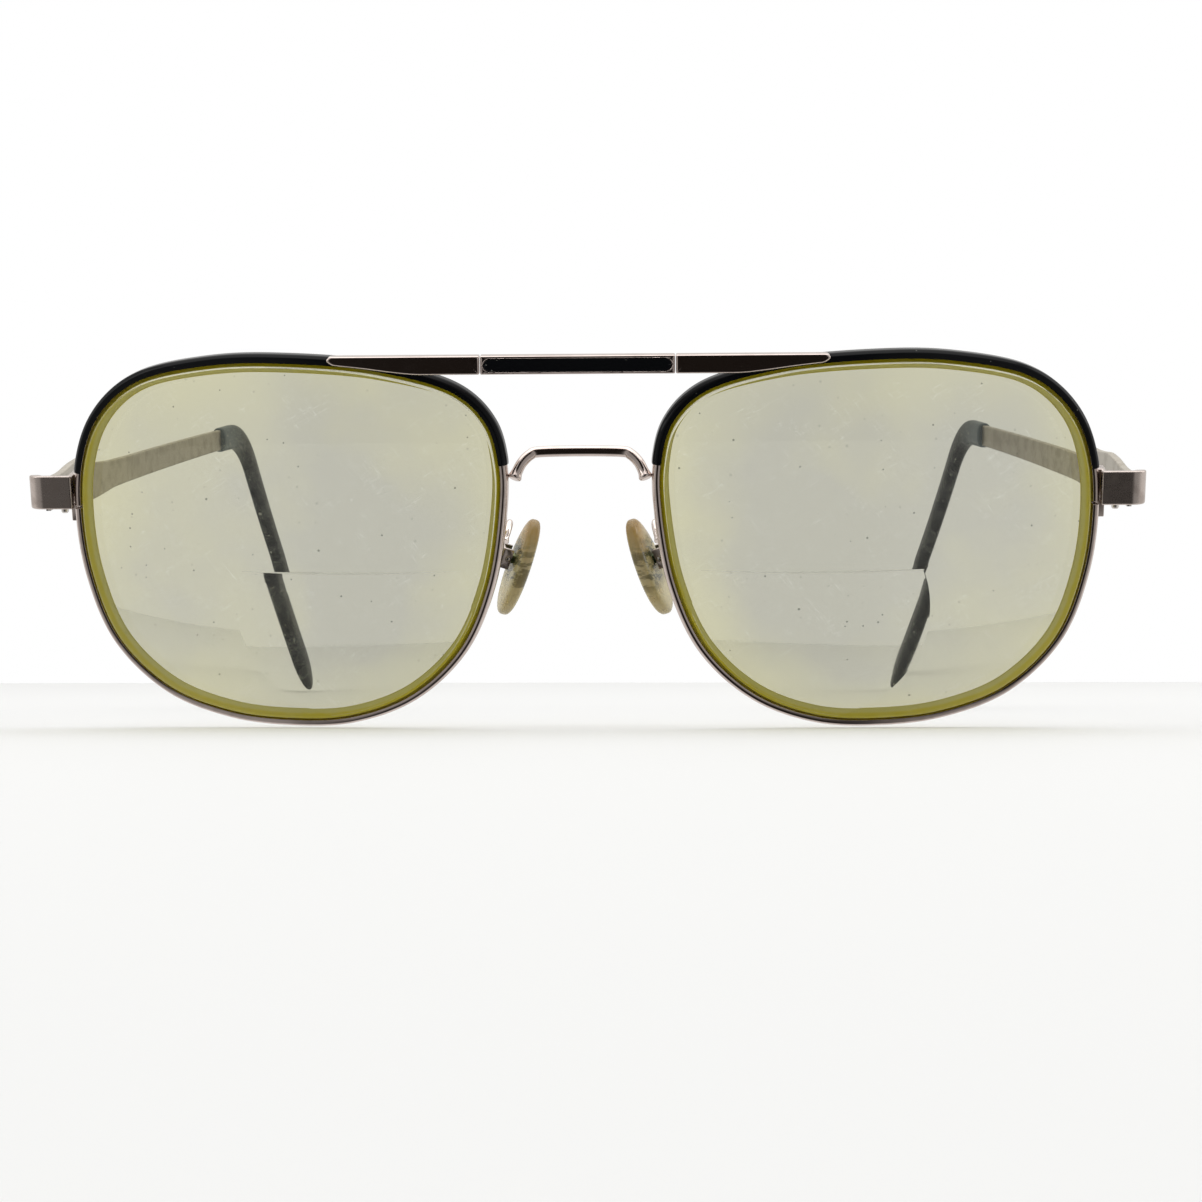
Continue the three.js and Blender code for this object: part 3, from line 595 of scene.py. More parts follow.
def lets_lamps_through(tree, shader, tint):
    """Clear plastic that lamps and bounced light pass as if it were tinted air."""
    out = next(n for n in tree.nodes if n.type == "OUTPUT_MATERIAL")
    rays = add(tree, "ShaderNodeLightPath").outputs
    passing = sums(tree, "MAXIMUM", rays["Is Shadow Ray"], rays["Is Diffuse Ray"])
    air = add(tree, "ShaderNodeBsdfTransparent", {"Color": (*tint, 1)})
    both = add(tree, "ShaderNodeMixShader", {0: passing, 1: shader.outputs[0], 2: air.outputs[0]})
    tree.links.new(both.outputs[0], out.inputs["Surface"])


def tinted_lens():
    """Pale yellow-green optical plastic with a cloudy tint, dust specks and hairline scratches."""
    material, tree, shader = new_material("tinted lens", IOR=1.5, Transmission_Weight=1.0)
    at = object_point(tree)
    cloud = noise(tree, at, 52.0, 3, 0.5)
    clouded = ramped(tree, cloud, 0.3, 0.7, -0.25, 0.45)
    warm = sums(tree, "ADD", clouded, mark_of(tree, "warmth"), clamp=True)
    colour = blended(tree, warm, (0.53, 0.525, 0.45, 1), (0.64, 0.62, 0.43, 1))
    specks = grouped(tree, DUST, Density=900.0, Size=0.13, Share=0.10).outputs[0]
    grains = grouped(tree, DUST, Density=480.0, Size=0.06, Share=0.36).outputs[0]
    hair = grouped(tree, SCRATCHES, Fineness=90.0, Width=0.0035, Share=0.3).outputs[0]
    colour = marked(tree, colour, specks, 0.35, (0.22, 0.23, 0.18, 1))
    colour = marked(tree, colour, grains, 0.8, (0.05, 0.06, 0.04, 1))
    colour = marked(tree, colour, hair, 0.35, (0.86, 0.86, 0.80, 1))
    haze = ramped(tree, noise(tree, at, 120.0, 4, 0.6), 0.35, 0.75, 0.0, 0.035)
    coated(tree, shader, colour, haze)
    lets_lamps_through(tree, shader, (0.8, 0.8, 0.7))
    return material


def ground_edge():
    """Ground rim of the lens: saturated yellow outside, olive towards the back, faintly grooved."""
    material, tree, shader = new_material("ground lens edge", IOR=1.5, Roughness=0.45)
    across = ramped(tree, mark_of(tree, "edge"), 0.35, 0.75)
    cloud = ramped(tree, noise(tree, object_point(tree), 240.0, 3, 0.6), 0.3, 0.7, -0.2, 0.2)
    share = sums(tree, "ADD", across, cloud, clamp=True)
    colour = blended(tree, share, (0.58, 0.50, 0.010, 1), (0.60, 0.56, 0.20, 1))
    tree.links.new(colour, shader.inputs["Base Color"])
    raised(tree, shader, noise(tree, object_point(tree), 1600.0, 3, 0.6), 0.15, 3e-5)
    return material


def speckled_tip():
    """Smoke-grey acetate: bluish and thin near its mouth, nearly black below, with pale specks and
    fine rubbed scratches."""
    material, tree, shader = new_material("speckled acetate", IOR=1.49, Specular_IOR_Level=0.16)
    cloud = ramped(tree, noise(tree, object_point(tree), 260.0, 4, 0.6), 0.35, 0.7)
    base = blended(tree, cloud, (0.006, 0.007, 0.009, 1), (0.018, 0.023, 0.028, 1))
    smoke = ramped(tree, mark_of(tree, "along"), 0.03, 0.2, 0.75, 0.0)
    base = blended(tree, smoke, base, (0.14, 0.17, 0.19, 1))
    fine = grouped(tree, DUST, Density=1500.0, Size=0.24, Share=0.28).outputs[0]
    large = grouped(tree, DUST, Density=700.0, Size=0.17, Share=0.22).outputs[0]
    hair = grouped(tree, SCRATCHES, Fineness=240.0, Width=0.01, Share=0.5).outputs[0]
    marks = sums(tree, "MAXIMUM", times(tree, large, 0.7), times(tree, hair, 0.35))
    marks = sums(tree, "MAXIMUM", times(tree, fine, 0.4), marks)
    colour = blended(tree, marks, base, (0.46, 0.46, 0.40, 1))
    coated(tree, shader, colour, ramped(tree, marks, 0.0, 0.7, 0.34, 0.6))
    raised(tree, shader, marks, 0.2, 2e-5)
    return material


def aged_pad():
    """Clear pad plastic gone yellow: cream at the foot and amber towards the top, green grime around
    its insert and brown at its rim."""
    material, tree, shader = new_material("aged pad plastic", IOR=1.46, Transmission_Weight=0.4)
    along = mark_of(tree, "along")
    cloud = noise(tree, object_point(tree), 420.0, 3, 0.6)
    clouded = ramped(tree, cloud, 0.3, 0.7, -0.25, 0.25)
    share = sums(tree, "ADD", ramped(tree, along, 0.55, 1.0), clouded, clamp=True)
    colour = blended(tree, share, (0.66, 0.58, 0.34, 1), (0.52, 0.31, 0.07, 1))
    streaks = noise(tree, object_point(tree, (1, 1, 3), (0, 0.5, 0)), 320.0, 3, 0.7)
    from_insert = sums(tree, "ABSOLUTE", sums(tree, "SUBTRACT", along, 0.55))
    near_insert = ramped(tree, from_insert, 0.12, 0.3, 1.0, 0.0)
    grime = times(tree, ramped(tree, streaks, 0.44, 0.54), near_insert)
    colour = marked(tree, colour, grime, 0.85, (0.045, 0.06, 0.03, 1))
    colour = marked(tree, colour, mark_of(tree, "rim"), 0.5, (0.26, 0.19, 0.09, 1))
    coated(tree, shader, colour, ramped(tree, cloud, 0.3, 0.7, 0.16, 0.3))
    raised(tree, shader, cloud, 0.1, 5e-5)
    lets_lamps_through(tree, shader, (0.6, 0.55, 0.36))
    return material


GUNMETAL = plated("polished gunmetal", (0.56, 0.48, 0.445), (0.36, 0.29, 0.26), 420.0, 0.35, 0.11, 0.12)
SATIN = plated("satin gunmetal", (0.50, 0.435, 0.40), (0.30, 0.25, 0.22), 520.0, 0.5, 0.26, 0.15)
STRAP = plated("dulled strap", (0.42, 0.39, 0.335), (0.29, 0.265, 0.22), 420.0, 0.6, 0.46, 0.12)
BRIGHT_WIRE = plated("bright wire", (0.66, 0.59, 0.55), (0.42, 0.34, 0.30), 500.0, 0.3, 0.1, 0.15)
STEEL = plated("turned screw steel", (0.62, 0.59, 0.56), (0.32, 0.29, 0.26), 900.0, 0.4, 0.2, 0.2)
VERDIGRIS = plated("verdigris", (0.20, 0.22, 0.10), (0.03, 0.06, 0.035), 900.0, 1.0, 0.4, 0.3, 0.3)
ENAMEL, LENS, EDGE, TIP, PAD = gloss_enamel(), tinted_lens(), ground_edge(), speckled_tip(), aged_pad()

# ---------------------------------------------------------------- lens, eyewire and enamel


def sag(radius, r):
    """How far a sphere falls back from its pole at a distance of r from it."""
    return radius - np.sqrt(radius * radius - r * r)


def outline_at(share):
    """Points of the eye outline at shares of its way round."""
    return spline_at(EYE_OUTLINE, share, closed=True, power=0.5)


def ridge(low, high, count):
    """Length and path of the bevel ridge between two shares of the outline: the outline laid at the
    sag of the lens front plus the setback."""
    flat = outline_at(np.linspace(low, high, count))
    depth = sag(FRONT_RADIUS, np.hypot(*flat.T)) + BEVEL_SETBACK
    return measured(np.stack([flat[:, 0], depth, flat[:, 1]], -1))


def eyewire():
    """Grooved wire carried along the ridge from one side of the split to the other."""
    corners = [(0.50, -0.93), (0.80, -0.50), (0.80, 0.50), (0.50, 0.93), (-0.16, 0.93), (-0.16, 0.42),
               (0.12, 0.0), (-0.16, -0.42), (-0.16, -0.90), (0.15, -0.97)]
    reach = np.array([0.30, 0.32, 0.32, 0.30, 0.10, 0.05, 0.12, 0.05, 0.10, 0.40])
    length, path = ridge(SPLIT_SHARE, 1 - SPLIT_SHARE, 3000)
    return sweep(path, length, (0, 1, 0), rounded(corners, reach), 0.08, 560, (0.45, 0.0))


def rim_enamel():
    """Skin of enamel over the front and outside of the rim. Its outer side is the inner one moved
    out by a thickness that runs down to nothing at both ends like a drop's edge."""
    runout, hair = 0.9, 0.012
    inner = np.array([(-0.12, -1.04), (0.46, -1.04), (0.87, -0.56), (0.87, 0.50)])
    outer = np.array([(-0.12, -1.16), (0.54, -1.18), (0.99, -0.64), (0.98, 0.50)])
    soft = np.array([0.06, 0.22, 0.22, 0.06])
    skin = rounded(np.concatenate([outer, inner[::-1]]), np.concatenate([soft, soft[::-1]]), 6)
    base = rounded(np.concatenate([inner + hair * unit(outer - inner), inner[::-1]]),
                   np.concatenate([soft, soft[::-1]]), 6)
    spans = len(EYE_OUTLINE)
    length, path = ridge(ENAMEL_FROM / spans, ENAMEL_TO / spans, 2000)
    end = runout * (1 - np.cos(np.linspace(0, math.pi / 2, 10)))
    s = np.concatenate([end, np.linspace(runout, length - runout, 340)[1:-1], length - end[::-1]])
    near = np.clip(np.minimum(s, length - s) / runout, 0, 1)
    thick = np.sqrt(1 - (1 - near) ** 2)[:, None, None]
    return closed_ends(carried(path, length, s, (0, 1, 0), base + (skin - base) * thick))


LENS_COLUMNS = 480
LENS_REACH = 28
LEDGE_LAND, EDGE_BREAK = 0.35, 0.03


def lens_rays():
    """Directions from the middle of the reading segment, with its two top corners among them, and
    for each direction how far it is to the segment's edge, and the ridge point that it meets."""
    corner = math.asin(SEGMENT_RISE / SEGMENT_RADIUS)
    top = round(LENS_COLUMNS * (math.pi - 2 * corner) / (2 * math.pi))
    over = np.linspace(corner, math.pi - corner, top, endpoint=False)
    under = np.linspace(math.pi - corner, 2 * math.pi + corner, LENS_COLUMNS - top, endpoint=False)
    angle = np.concatenate([over, under])
    toward = np.stack([np.cos(angle), np.sin(angle)], -1)
    middle = np.array([SEGMENT_U, SEGMENT_TOP - SEGMENT_RISE])
    rim = outline_at(np.linspace(0, 1, 6000, endpoint=False)) - middle
    turn = np.unwrap(np.arctan2(rim[:, 1], rim[:, 0]))
    rim_angle = np.concatenate([turn - 2 * math.pi, turn, turn + 2 * math.pi])
    reach = np.interp(angle, rim_angle, np.tile(np.hypot(*rim.T), 3))
    ridge_at = middle + toward * reach[:, None]
    straight = np.where(np.sin(angle) > math.sin(corner) - 1e-9,
                        SEGMENT_RISE / np.maximum(np.sin(angle), 1e-6), SEGMENT_RADIUS)
    room = reach - LENS_PLAY - BEVEL_HEIGHT - LEDGE_LAND
    return middle, ridge_at, toward, np.minimum(straight, room)


def lens():
    """One closed grid of rays by stations: reading segment from its middle to its ledge, the lens
    front out to the bevel, the bevel, the ground edge and the hollow back in to a point. The
    segment stands out from the front by the difference of the two caps' sags."""
    middle, ridge_at, toward, ledge = lens_rays()
    normal = outward(ridge_at)
    edge = LENS_PLAY + BEVEL_HEIGHT
    foot = edge + EDGE_TAPER
    crown = sag(SEGMENT_POWER, SEGMENT_RADIUS) - sag(FRONT_RADIUS, SEGMENT_RADIUS)

    def front(flat):
        """Depth of the lens front."""
        return sag(FRONT_RADIUS, np.hypot(*flat.T))

    def back(flat):
        """Depth of the hollow."""
        return LENS_CENTRE + sag(BACK_RADIUS, np.hypot(*flat.T))

    def laid(flat, depth):
        """Flat points at a depth."""
        return np.stack([flat[:, 0], depth, flat[:, 1]], -1)

    def raised_front(r):
        """The segment's face at a distance of r from its middle on every ray."""
        flat = middle + toward * r[:, None]
        return laid(flat, front(flat) - (crown - sag(SEGMENT_POWER, r) + sag(FRONT_RADIUS, r)))

    rows, warmth, edges, finish = [], [], [], []

    def station(row, edge_share=0.0, kind=0):
        """Adds a row of points, how far it is across the ground edge, and its finish's number."""
        rows.append(row)
        warmth.append(np.hypot(row[:, 0], row[:, 2]) / LENS_REACH)
        edges.append(np.full(len(row), edge_share))
        finish.append(kind)

    for share in np.concatenate([[0], np.linspace(0.06, 0.98, 14), [0.995, 1.0]]):
        station(raised_front(ledge * share))
    on_base = middle + toward * ledge[:, None]
    rim_front = ridge_at - edge * normal
    for share in np.concatenate([[0.0015, 0.006], np.linspace(0.04, 0.97, 14), [0.99, 1.0]]):
        flat = on_base + (rim_front - on_base) * share
        station(laid(flat, front(flat)))
    ridge_depth = front(ridge_at) + BEVEL_SETBACK
    profile = [(edge, -BEVEL_HALF - 0.08), (edge, -BEVEL_HALF), (LENS_PLAY + 0.04, -0.05),
               (LENS_PLAY, 0.0), (LENS_PLAY + 0.04, 0.05), (edge, BEVEL_HALF),
               (edge + EDGE_BREAK, BEVEL_HALF + EDGE_BREAK)]
    for by, at in profile:
        station(laid(ridge_at - by * normal, ridge_depth + at), 0.1, 1)
    side = ridge_at - (edge + EDGE_BREAK) * normal
    heel = ridge_at - foot * normal
    for share in np.linspace(0.08, 1, 10):
        flat = side + (heel - side) * share
        depth = (1 - share) * (ridge_depth + BEVEL_HALF + EDGE_BREAK) + share * back(heel)
        station(laid(flat, depth), 0.2 + 0.8 * share, 1)
    for share in np.concatenate([[0.004, 0.02], np.linspace(0.06, 0.96, 20), [1.0]]):
        flat = heel + (middle - heel) * share
        station(laid(flat, back(flat)))
    return np.stack(rows), np.array(finish[:-1]), np.stack(warmth), np.stack(edges)


GRID, LENS_FINISH, WARMTH, EDGE_SHARE = lens()
both_sides("lens", [GRID], from_lens, [LENS, EDGE], "tinted_lens", row_finish=LENS_FINISH,
           marks={"warmth": 0.7 * smoothstep(WARMTH, 0.5, 1.05), "edge": EDGE_SHARE})
both_sides("eyewire", [eyewire()], from_lens, [GUNMETAL], "gunmetal")
both_sides("rim_enamel", [rim_enamel()], from_lens, [ENAMEL], "black_enamel")

# ---------------------------------------------------------------- brow bar and lower bridge

BAR_MIDDLE = (BAR_TOP + BAR_BOTTOM) / 2
BAR_TALL = (BAR_TOP - BAR_BOTTOM) / 2


def brow_bar():
    """Block with a milled pocket: from the pocket floor's spine out to its wall, up to the front,
    over the border and round the eased edge to the back."""
    block = rounded_box(BAR_HALF, BAR_TALL, 0.18)
    pocket = rounded_box(INLAY_HALF + 0.05, INLAY_HEIGHT / 2 + 0.05, INLAY_HEIGHT / 2 + 0.049)
    grid = slab(block, (-BAR_HALF + 1, BAR_HALF - 1, np.zeros_like), BAR_FRONT, BAR_BACK, 0.22)
    floor = BAR_FRONT + INLAY_DEPTH + 0.06
    rows = [grid[0].copy()]
    rows[0][:, 1] = floor
    for by, depth in ((0.0, floor), (0.0, BAR_FRONT + 0.1), (0.03, BAR_FRONT + 0.03), (0.1, BAR_FRONT)):
        ring = pocket + by * outward(pocket)
        rows.append(np.stack([ring[:, 0], np.full(len(ring), depth), ring[:, 1]], -1))
    return np.concatenate([np.stack(rows), grid[1:]]) + [0, 0, BAR_MIDDLE]


def brow_inlay():
    """Enamel poured level with the border, its edge drawn up like a drop's."""
    shape = rounded_box(INLAY_HALF, INLAY_HEIGHT / 2, INLAY_HEIGHT / 2 - 1e-3)
    grid = slab(shape, (-INLAY_HALF + 0.75, INLAY_HALF - 0.75, np.zeros_like), BAR_FRONT,
                BAR_FRONT + INLAY_DEPTH, 0.1)
    return grid + [0, 0, BAR_MIDDLE]


def brow_wing():
    """Plate that tapers to a rounded nose over the rim."""
    start = BAR_HALF + 0.1
    corners = [(start, BAR_BOTTOM), (20.5, BAR_BOTTOM), (23.5, BAR_BOTTOM + 0.35),
               (27, BAR_BOTTOM + 0.85), (WING_END - 0.8, BAR_TOP - 1.1), (WING_END, BAR_TOP - 0.5),
               (WING_END - 0.5, BAR_TOP), (start, BAR_TOP)]
    reach = np.array([0.18, 1.2, 1.2, 1.2, 0.5, 0.35, 0.35, 0.18])
    edge = rounded(corners, reach, 8)
    length, path = measured(np.concatenate([edge, edge[:1]]))
    shape = path(np.linspace(0, length, 360, endpoint=False))
    xs = [start, 20.5, 23.5, 27, WING_END]
    lows = np.array([0, 0, 0.35, 0.85, 1.45]) + BAR_BOTTOM

    def middle(x):
        """Height half way up the plate."""
        return (np.interp(x, xs, lows) + BAR_TOP) / 2

    return slab(shape, (start + 1.0, WING_END - 0.9, middle), BAR_FRONT, BAR_BACK, 0.24)


def lower_bridge():
    """Bent round wire with a bead of braze where it meets each rim."""
    half = np.array([[8.35, 3.3, 8.7], [8.0, 3.8, 9.5], [7.4, 4.5, 10.5], [6.4, 5.2, 11.35],
                     [5.2, 5.6, 11.65]])
    points = np.concatenate([half, [[0, 5.8, 11.7]], half[::-1] * [-1, 1, 1]])
    return tube(points, 0.7, (0.1, 0.3, 1), 320, 28, 0.3, 0.22, 0.7)


for node, made, finish, slot in (
    ("brow_bar", brow_bar(), GUNMETAL, "gunmetal"), ("brow_inlay", brow_inlay(), ENAMEL, "black_enamel"),
    ("lower_bridge", lower_bridge(), GUNMETAL, "gunmetal"),
):
    make_piece(f"fine_{node}", [from_front(made)], [finish], "front", slot, [node])
both_sides("brow_wing", [brow_wing()], from_front, [GUNMETAL], "gunmetal")

# ---------------------------------------------------------------- end piece, temple and tip


def end_piece():
    """Eased strap section carried round the corner in plan; then its front leans with the lenses
    and its rear grows as tall as the temple's butt."""
    mid = END_FRONT + END_PLATE / 2
    bend = END_CORNER - END_PLATE / 2
    rear = HINGE[1] - BUTT_GAP
    turn = np.linspace(-math.pi / 2, 0, 60)
    corner = np.stack([END_OUTER - END_CORNER + bend * np.cos(turn),
                       END_FRONT + END_CORNER + bend * np.sin(turn)], -1)
    plan = np.concatenate([[[END_INNER, mid]], corner, [[END_OUTER - END_PLATE / 2, rear]]])
    length, path = measured(np.concatenate([plan, np.zeros((len(plan), 1))], -1))
    a, b = END_PLATE / 2, END_HEIGHT / 2
    section = rounded([(a, -b), (a, b), (-a, b), (-a, -b)], 0.3, 6)
    x, y, z = np.moveaxis(sweep(path, length, (0, 0, 1), section, 0.2, 160), -1, 0)
    back = smoothstep(y, END_FRONT + END_PLATE, rear)
    y = y - z * math.tan(PANTOSCOPIC) * (1 - back)
    middle = END_Z + (HINGE[2] - END_Z) * back
    return np.stack([x, y, middle + z * (1 + (BUTT_HALF / b - 1) * back)], -1)


def side_line():
    """The temple's side view as [back, up]: straight, a bend of one radius, then a slow curve."""
    start = BEND - TIP_RADIUS * math.tan(TIP_DROP / 2)
    turn = np.linspace(math.pi / 2, math.pi / 2 - TIP_DROP, 200)
    arc = np.stack([start + TIP_RADIUS * np.cos(turn), TIP_RADIUS * (np.sin(turn) - 1)], -1)
    run = TIP_LENGTH - TIP_RADIUS * math.tan(TIP_DROP / 2)
    last = TIP_DROP + TIP_CURL / 2
    control = arc[-1] + run / 2 * np.array([math.cos(TIP_DROP), -math.sin(TIP_DROP)])
    end = arc[-1] + run * np.array([math.cos(last), -math.sin(last)])
    t = np.linspace(0, 1, 200)[1:, None]
    curve = (1 - t) ** 2 * arc[-1] + 2 * t * (1 - t) * control + t * t * end
    return measured(np.concatenate([[[0, 0]], arc, curve]))


TEMPLE_LENGTH, SIDE = side_line()
TEMPLE_X = END_OUTER - TEMPLE_THICK / 2 - 0.1


def temple_at(s, bow):
    """Middle line of the temple at distances from its butt, bowed in: bow * (s / bend)^2."""
    side = SIDE(s)
    return np.stack([TEMPLE_X - bow * (s / BEND) ** 2, HINGE[1] + side[:, 0], HINGE[2] + side[:, 1]], -1)


def temple_strap(bow):
    """Eased rectangle whose top and bottom follow the stamped outline: low at the hinge, tallest a
    little behind it and slim from there on."""
    tops = np.array([[0, 6, 11, 16, 19, 24, 32, STRIP],
                     [BUTT_HALF, BUTT_HALF, 2.6, 2.8, 2.45, 2.1, 2.02, 1.9]])
    lows = np.array([[0, 6, 11, 17, 21, 25, 32, STRIP],
                     [BUTT_HALF, BUTT_HALF, 2.6, 2.8, 2.5, 2.1, 2.02, 1.9]])
    length = STRIP - 0.1 - BUTT_GAP
    s, inset = eased_stations(length, 0.2, 240)
    s = s + BUTT_GAP
    window = np.linspace(-1.5, 1.5, 7)
    top = np.mean([np.interp(s + w, *tops) for w in window], 0)[:, None]
    low = np.mean([np.interp(s + w, *lows) for w in window], 0)[:, None]
    half = TEMPLE_THICK / 2
    base = rounded([(half, -1), (half, 1), (-half, 1), (-half, -1)], 0.26, 5)
    shrunk = base[None] - inset[:, None, None] * outward(base)[None]
    height = np.where(base[None, :, 1] > 0, shrunk[..., 1] - 1 + top, shrunk[..., 1] + 1 - low)
    middle = temple_at(s, bow)
    grid = middle[:, None] + np.stack([shrunk[..., 0], np.zeros_like(height), height], -1)
    columns = len(base)
    ends = [np.repeat(middle[[k]][None], columns, 1) for k in (0, -1)]
    return np.concatenate([ends[0], grid, ends[1]])


def temple_core(bow):
    """Flat core wire that runs on inside the tip."""
    from_s, to_s = STRIP - 1.5, BEND + CORE
    core = rounded([(0.8, -0.45), (0.8, 0.45), (-0.8, 0.45), (-0.8, -0.45)], 0.25)
    return sweep(lambda s: temple_at(from_s + s, bow), to_s - from_s, (1, 0.05, 0), core, 0.2, 120)


def temple_tip(bow):
    """Superellipse section that grows taller and thinner: rounded at its mouth, and at its end
    drawn in like the end of an ellipse."""
    length = TEMPLE_LENGTH - STRIP
    mouth, nose = 0.6, 7.0
    turn = np.linspace(0, math.pi / 2, 8)
    nose_turn = np.linspace(0, math.pi / 2, 26)
    s = np.concatenate([mouth * (1 - np.cos(turn)), np.linspace(mouth, length - nose, 240)[1:-1],
                        length - nose * (1 - np.cos(nose_turn[::-1]))])
    at_mouth = 1 - 0.16 * (1 - np.sqrt(1 - (1 - np.clip(s / mouth, 0, 1)) ** 2))
    at_nose = np.sqrt(1 - (1 - np.clip((length - s) / nose, 0, 1)) ** 2) ** 0.9
    size, share = at_mouth * at_nose, s / length
    sides = 56
    angle = np.arange(sides) * 2 * math.pi / sides
    tall, thick = (TIP_TALL + share) * size / 2, (TIP_THICK - 0.4 * share) * size / 2

    def squared(values):
        """Values taken to a power of 0.75 with their signs kept."""
        return np.sign(values) * np.abs(values) ** 0.75

    centre = temple_at(STRIP + s, bow)
    tangent = unit(temple_at(STRIP + s + 0.05, bow) - temple_at(STRIP + s - 0.05, bow))
    tangent[-1] = tangent[-2]
    side = unit(np.array([1.0, 0, 0]) - tangent[:, :1] * tangent)
    up = np.cross(side, tangent)
    grid = (centre[:, None] + (tall[:, None] * squared(np.cos(angle)))[..., None] * up[:, None]
            + (thick[:, None] * squared(np.sin(angle)))[..., None] * side[:, None])
    first = np.repeat(centre[:1][None], sides, 1)
    along = np.concatenate([[0], share])[:, None] * np.ones(sides)
    return np.concatenate([first, grid]), along


LEFT_TIP, TIP_ALONG = temple_tip(BOW_LEFT)
RIGHT_TIP = temple_tip(BOW_RIGHT)[0]
both_sides("end_piece", [end_piece()], from_worn, [SATIN], "gunmetal")
both_sides("temple", [temple_strap(BOW_LEFT), temple_core(BOW_LEFT)], from_worn, [STRAP], "gunmetal",
           body="temple", other=[temple_strap(BOW_RIGHT), temple_core(BOW_RIGHT)])
both_sides("temple_tip", [LEFT_TIP], from_worn, [TIP], "tip_plastic", body="temple", other=[RIGHT_TIP],
           marks={"along": TIP_ALONG})

# ---------------------------------------------------------------- nose pads


def nose_pad():
    """Egg-shaped cushion: radius share |cos|^0.42 and thickness |sin|^0.62 over its rounded edge,
    narrower at the top."""
    half, sides = math.dist(PAD_TOP, PAD_BOTTOM) / 2 + 0.2, 120
    lift = np.linspace(-math.pi / 2, math.pi / 2, 61)[:, None]
    angle = np.arange(sides)[None] * 2 * math.pi / sides
    share = np.abs(np.cos(lift)) ** 0.42
    share[[0, -1]] = 0
    z = 0.15 + 1.05 * np.sign(np.sin(lift)) * np.abs(np.sin(lift)) ** 0.62
    egg = 1 - 0.14 * np.cos(angle)
    x = share * half * np.cos(angle)
    y = share * PAD_WIDTH / 2 * egg * np.sin(angle)
    along = 0.5 + x / (2 * half)
    rim = np.broadcast_to(share ** 6, x.shape)
    return np.stack([x, y, np.broadcast_to(z, x.shape)], -1), along, rim


def pad_arm():
    """Looped wire from the back of the rim to the base of the pad box."""
    root = PAD_CENTRE + np.array([PAD_MOUNT, 0, -3.41]) @ PAD_BASIS
    points = [[9.9, 4.3, 0.2], [9.5, 5.5, 1.3], [9.35, 7.1, 1.9], [9.8, 8.3, 1.1],
              root + [-0.15, 0.2, 2], root]
    return tube(np.array(points, float), 0.45, (0.1, 0.3, 1), 200, 20, 0.12, 0.18, 0.4)


PAD_GRID, PAD_ALONG, PAD_RIM = nose_pad()
both_sides("nose_pad", [PAD_GRID], from_pad, [PAD], "pad_plastic", body="nose_pad",
           marks={"along": PAD_ALONG, "rim": PAD_RIM})
both_sides("pad_arm", [pad_arm()], from_front, [BRIGHT_WIRE], "gunmetal")

# ---------------------------------------------------------------- small machined pieces

for side in ("left", "right"):
    for node, finish, slot, width in (
        ("rim_lock_upper", SATIN, "gunmetal", 0.12), ("rim_lock_lower", SATIN, "gunmetal", 0.12),
        ("hinge_front", STEEL, "screw_steel", 0.07), ("hinge_temple", STEEL, "screw_steel", 0.07),
        ("pad_box", SATIN, "gunmetal", 0.08), ("pad_insert", VERDIGRIS, "pad_metal", 0.06),
        ("rim_lock_screw", STEEL, "screw_steel", 0.04), ("hinge_screw", STEEL, "screw_steel", 0.04),
        ("pad_screw", STEEL, "screw_steel", 0.03),
    ):
        eased_copy(f"{node}_{side}", finish, slot, width)

# ---------------------------------------------------------------- studio


def studio_floor():
    """Pale floor, flat, a hair below the object and no wider than the lamps light evenly."""
    mesh = bpy.data.meshes.new("studio floor")
    half = 0.45
    corners = [(-half, -half, 0), (half, -half, 0), (half, half, 0), (-half, half, 0)]
    mesh.from_pydata(corners, [], [(0, 1, 2, 3)])
    floor = bpy.data.objects.new("studio_floor", mesh)
    floor.location.z = -2e-4
    bpy.context.scene.collection.objects.link(floor)
    material, tree, shader = new_material("pale floor", Roughness=0.8)
    shade = noise(tree, object_point(tree), 3.0, 2, 0.5)
    pale = blended(tree, shade, (0.93, 0.93, 0.93, 1), (0.95, 0.95, 0.945, 1))
    tree.links.new(pale, shader.inputs["Base Color"])
    mesh.materials.append(material)
    floor.visible_glossy = False


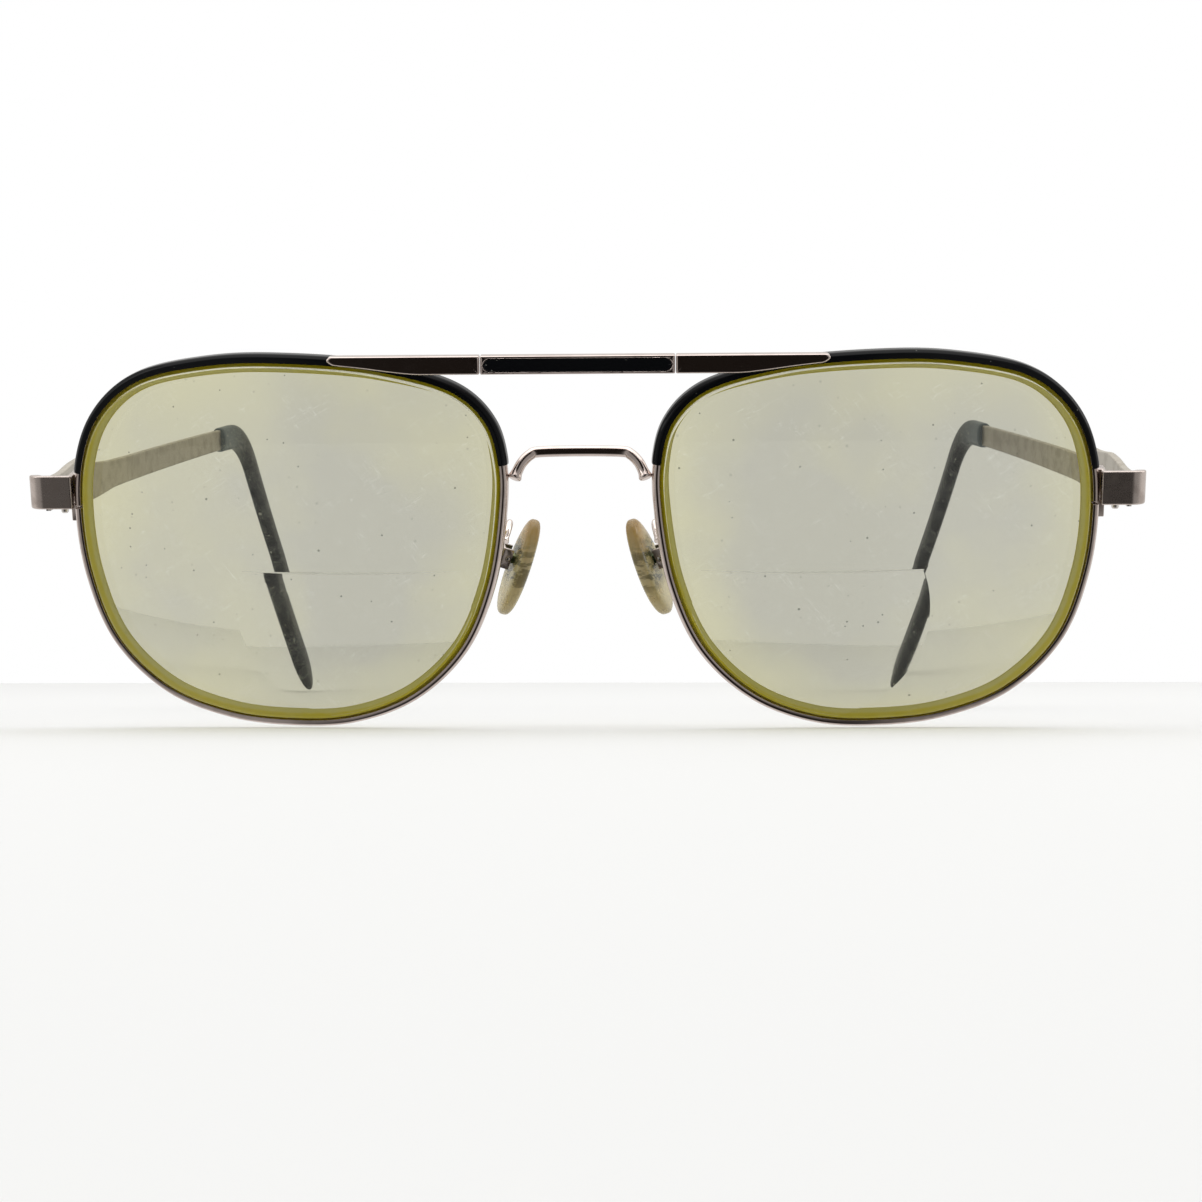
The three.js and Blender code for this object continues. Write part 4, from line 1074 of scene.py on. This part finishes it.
def studio_world():
    """White to the eye. Gloss meets a room that is bright above and behind and darker low in front,
    darkest in the middle, so that polished fronts read dark with bright edges."""
    world = bpy.data.worlds.new("studio")
    bpy.context.scene.world = world
    world.use_nodes = True
    tree = world.node_tree
    background = next(n for n in tree.nodes if n.type == "BACKGROUND")
    toward = add(tree, "ShaderNodeTexCoord").outputs["Generated"]
    x, y, z = add(tree, "ShaderNodeSeparateXYZ", {0: toward}).outputs
    front = ramped(tree, times(tree, y, -1.0), -0.05, 0.55)
    side = ramped(tree, sums(tree, "ABSOLUTE", x), 0.12, 0.5)
    dark = times(tree, front, ramped(tree, side, 0.0, 1.0, 1.0, 0.55))
    room = blended(tree, dark, (0.95, 0.94, 0.92, 1), (0.016, 0.013, 0.011, 1))
    top = ramped(tree, z, 0.74, 0.93)
    room = blended(tree, top, room, (1.7, 1.68, 1.65, 1))
    rays = add(tree, "ShaderNodeLightPath").outputs
    room = blended(tree, rays["Is Diffuse Ray"], room, (0.5, 0.5, 0.49, 1))
    seen = sums(tree, "MAXIMUM", rays["Is Camera Ray"], rays["Is Transmission Ray"])
    seen = times(tree, seen, sums(tree, "LESS_THAN", rays["Glossy Depth"], 0.5))
    tree.links.new(blended(tree, seen, room, (1, 1, 1, 1)), background.inputs["Color"])


def studio_lamp(name, place, aim, size, power):
    """Softbox of a size in metres, turned from its place to its aim."""
    data = bpy.data.lights.new(name, "AREA")
    data.shape = "RECTANGLE"
    data.size, data.size_y = size
    data.energy = power
    lamp = bpy.data.objects.new(name, data)
    lamp.location = place
    toward = Vector(aim) - Vector(place)
    lamp.rotation_euler = toward.to_track_quat("-Z", "Y").to_euler()
    bpy.context.scene.collection.objects.link(lamp)


def studio_camera():
    """Camera in front of the lenses, a little to the wearer's left and above the line of the
    temples. It is aimed in the worn frame's axes and then carried to the table with them."""
    azimuth, elevation, roll = math.radians(2.693), math.radians(9.064), math.radians(-0.6275)
    subject, distance = Vector(from_worn(np.array([0, 4.597, 0.528]))), 0.3232
    level = math.cos(elevation)
    back = Vector((math.sin(azimuth) * level, -math.cos(azimuth) * level, math.sin(elevation)))
    right = Vector((math.cos(azimuth), math.sin(azimuth), 0))
    up = back.cross(right)
    across = right * math.cos(roll) + up * math.sin(roll)
    upward = up * math.cos(roll) - right * math.sin(roll)
    across, upward, back = (Vector(about_x(axis, LEAN)) for axis in (across, upward, back))
    data = bpy.data.cameras.new("camera")
    data.sensor_width, data.lens = 36, 75.77
    data.shift_x, data.shift_y = 0.0161, -0.0488
    data.clip_start = 0.01
    camera = bpy.data.objects.new("camera", data)
    turned = Matrix((across, upward, back)).transposed().to_4x4()
    turned.translation = subject + back * distance
    camera.matrix_world = turned
    bpy.context.scene.collection.objects.link(camera)
    bpy.context.scene.camera = camera


studio_floor()
studio_world()
studio_lamp("overhead softbox", (0.0, 0.0, 0.9), (0, 0, 0), (1.5, 1.5), 5.5)
studio_lamp("left softbox", (-0.8, -0.35, 0.5), (0, 0, 0.02), (0.4, 0.6), 1.2)
studio_lamp("right softbox", (0.85, 0.1, 0.5), (0, 0, 0.02), (0.4, 0.6), 1.2)
studio_camera()
bpy.context.scene.view_settings.view_transform = "Standard"
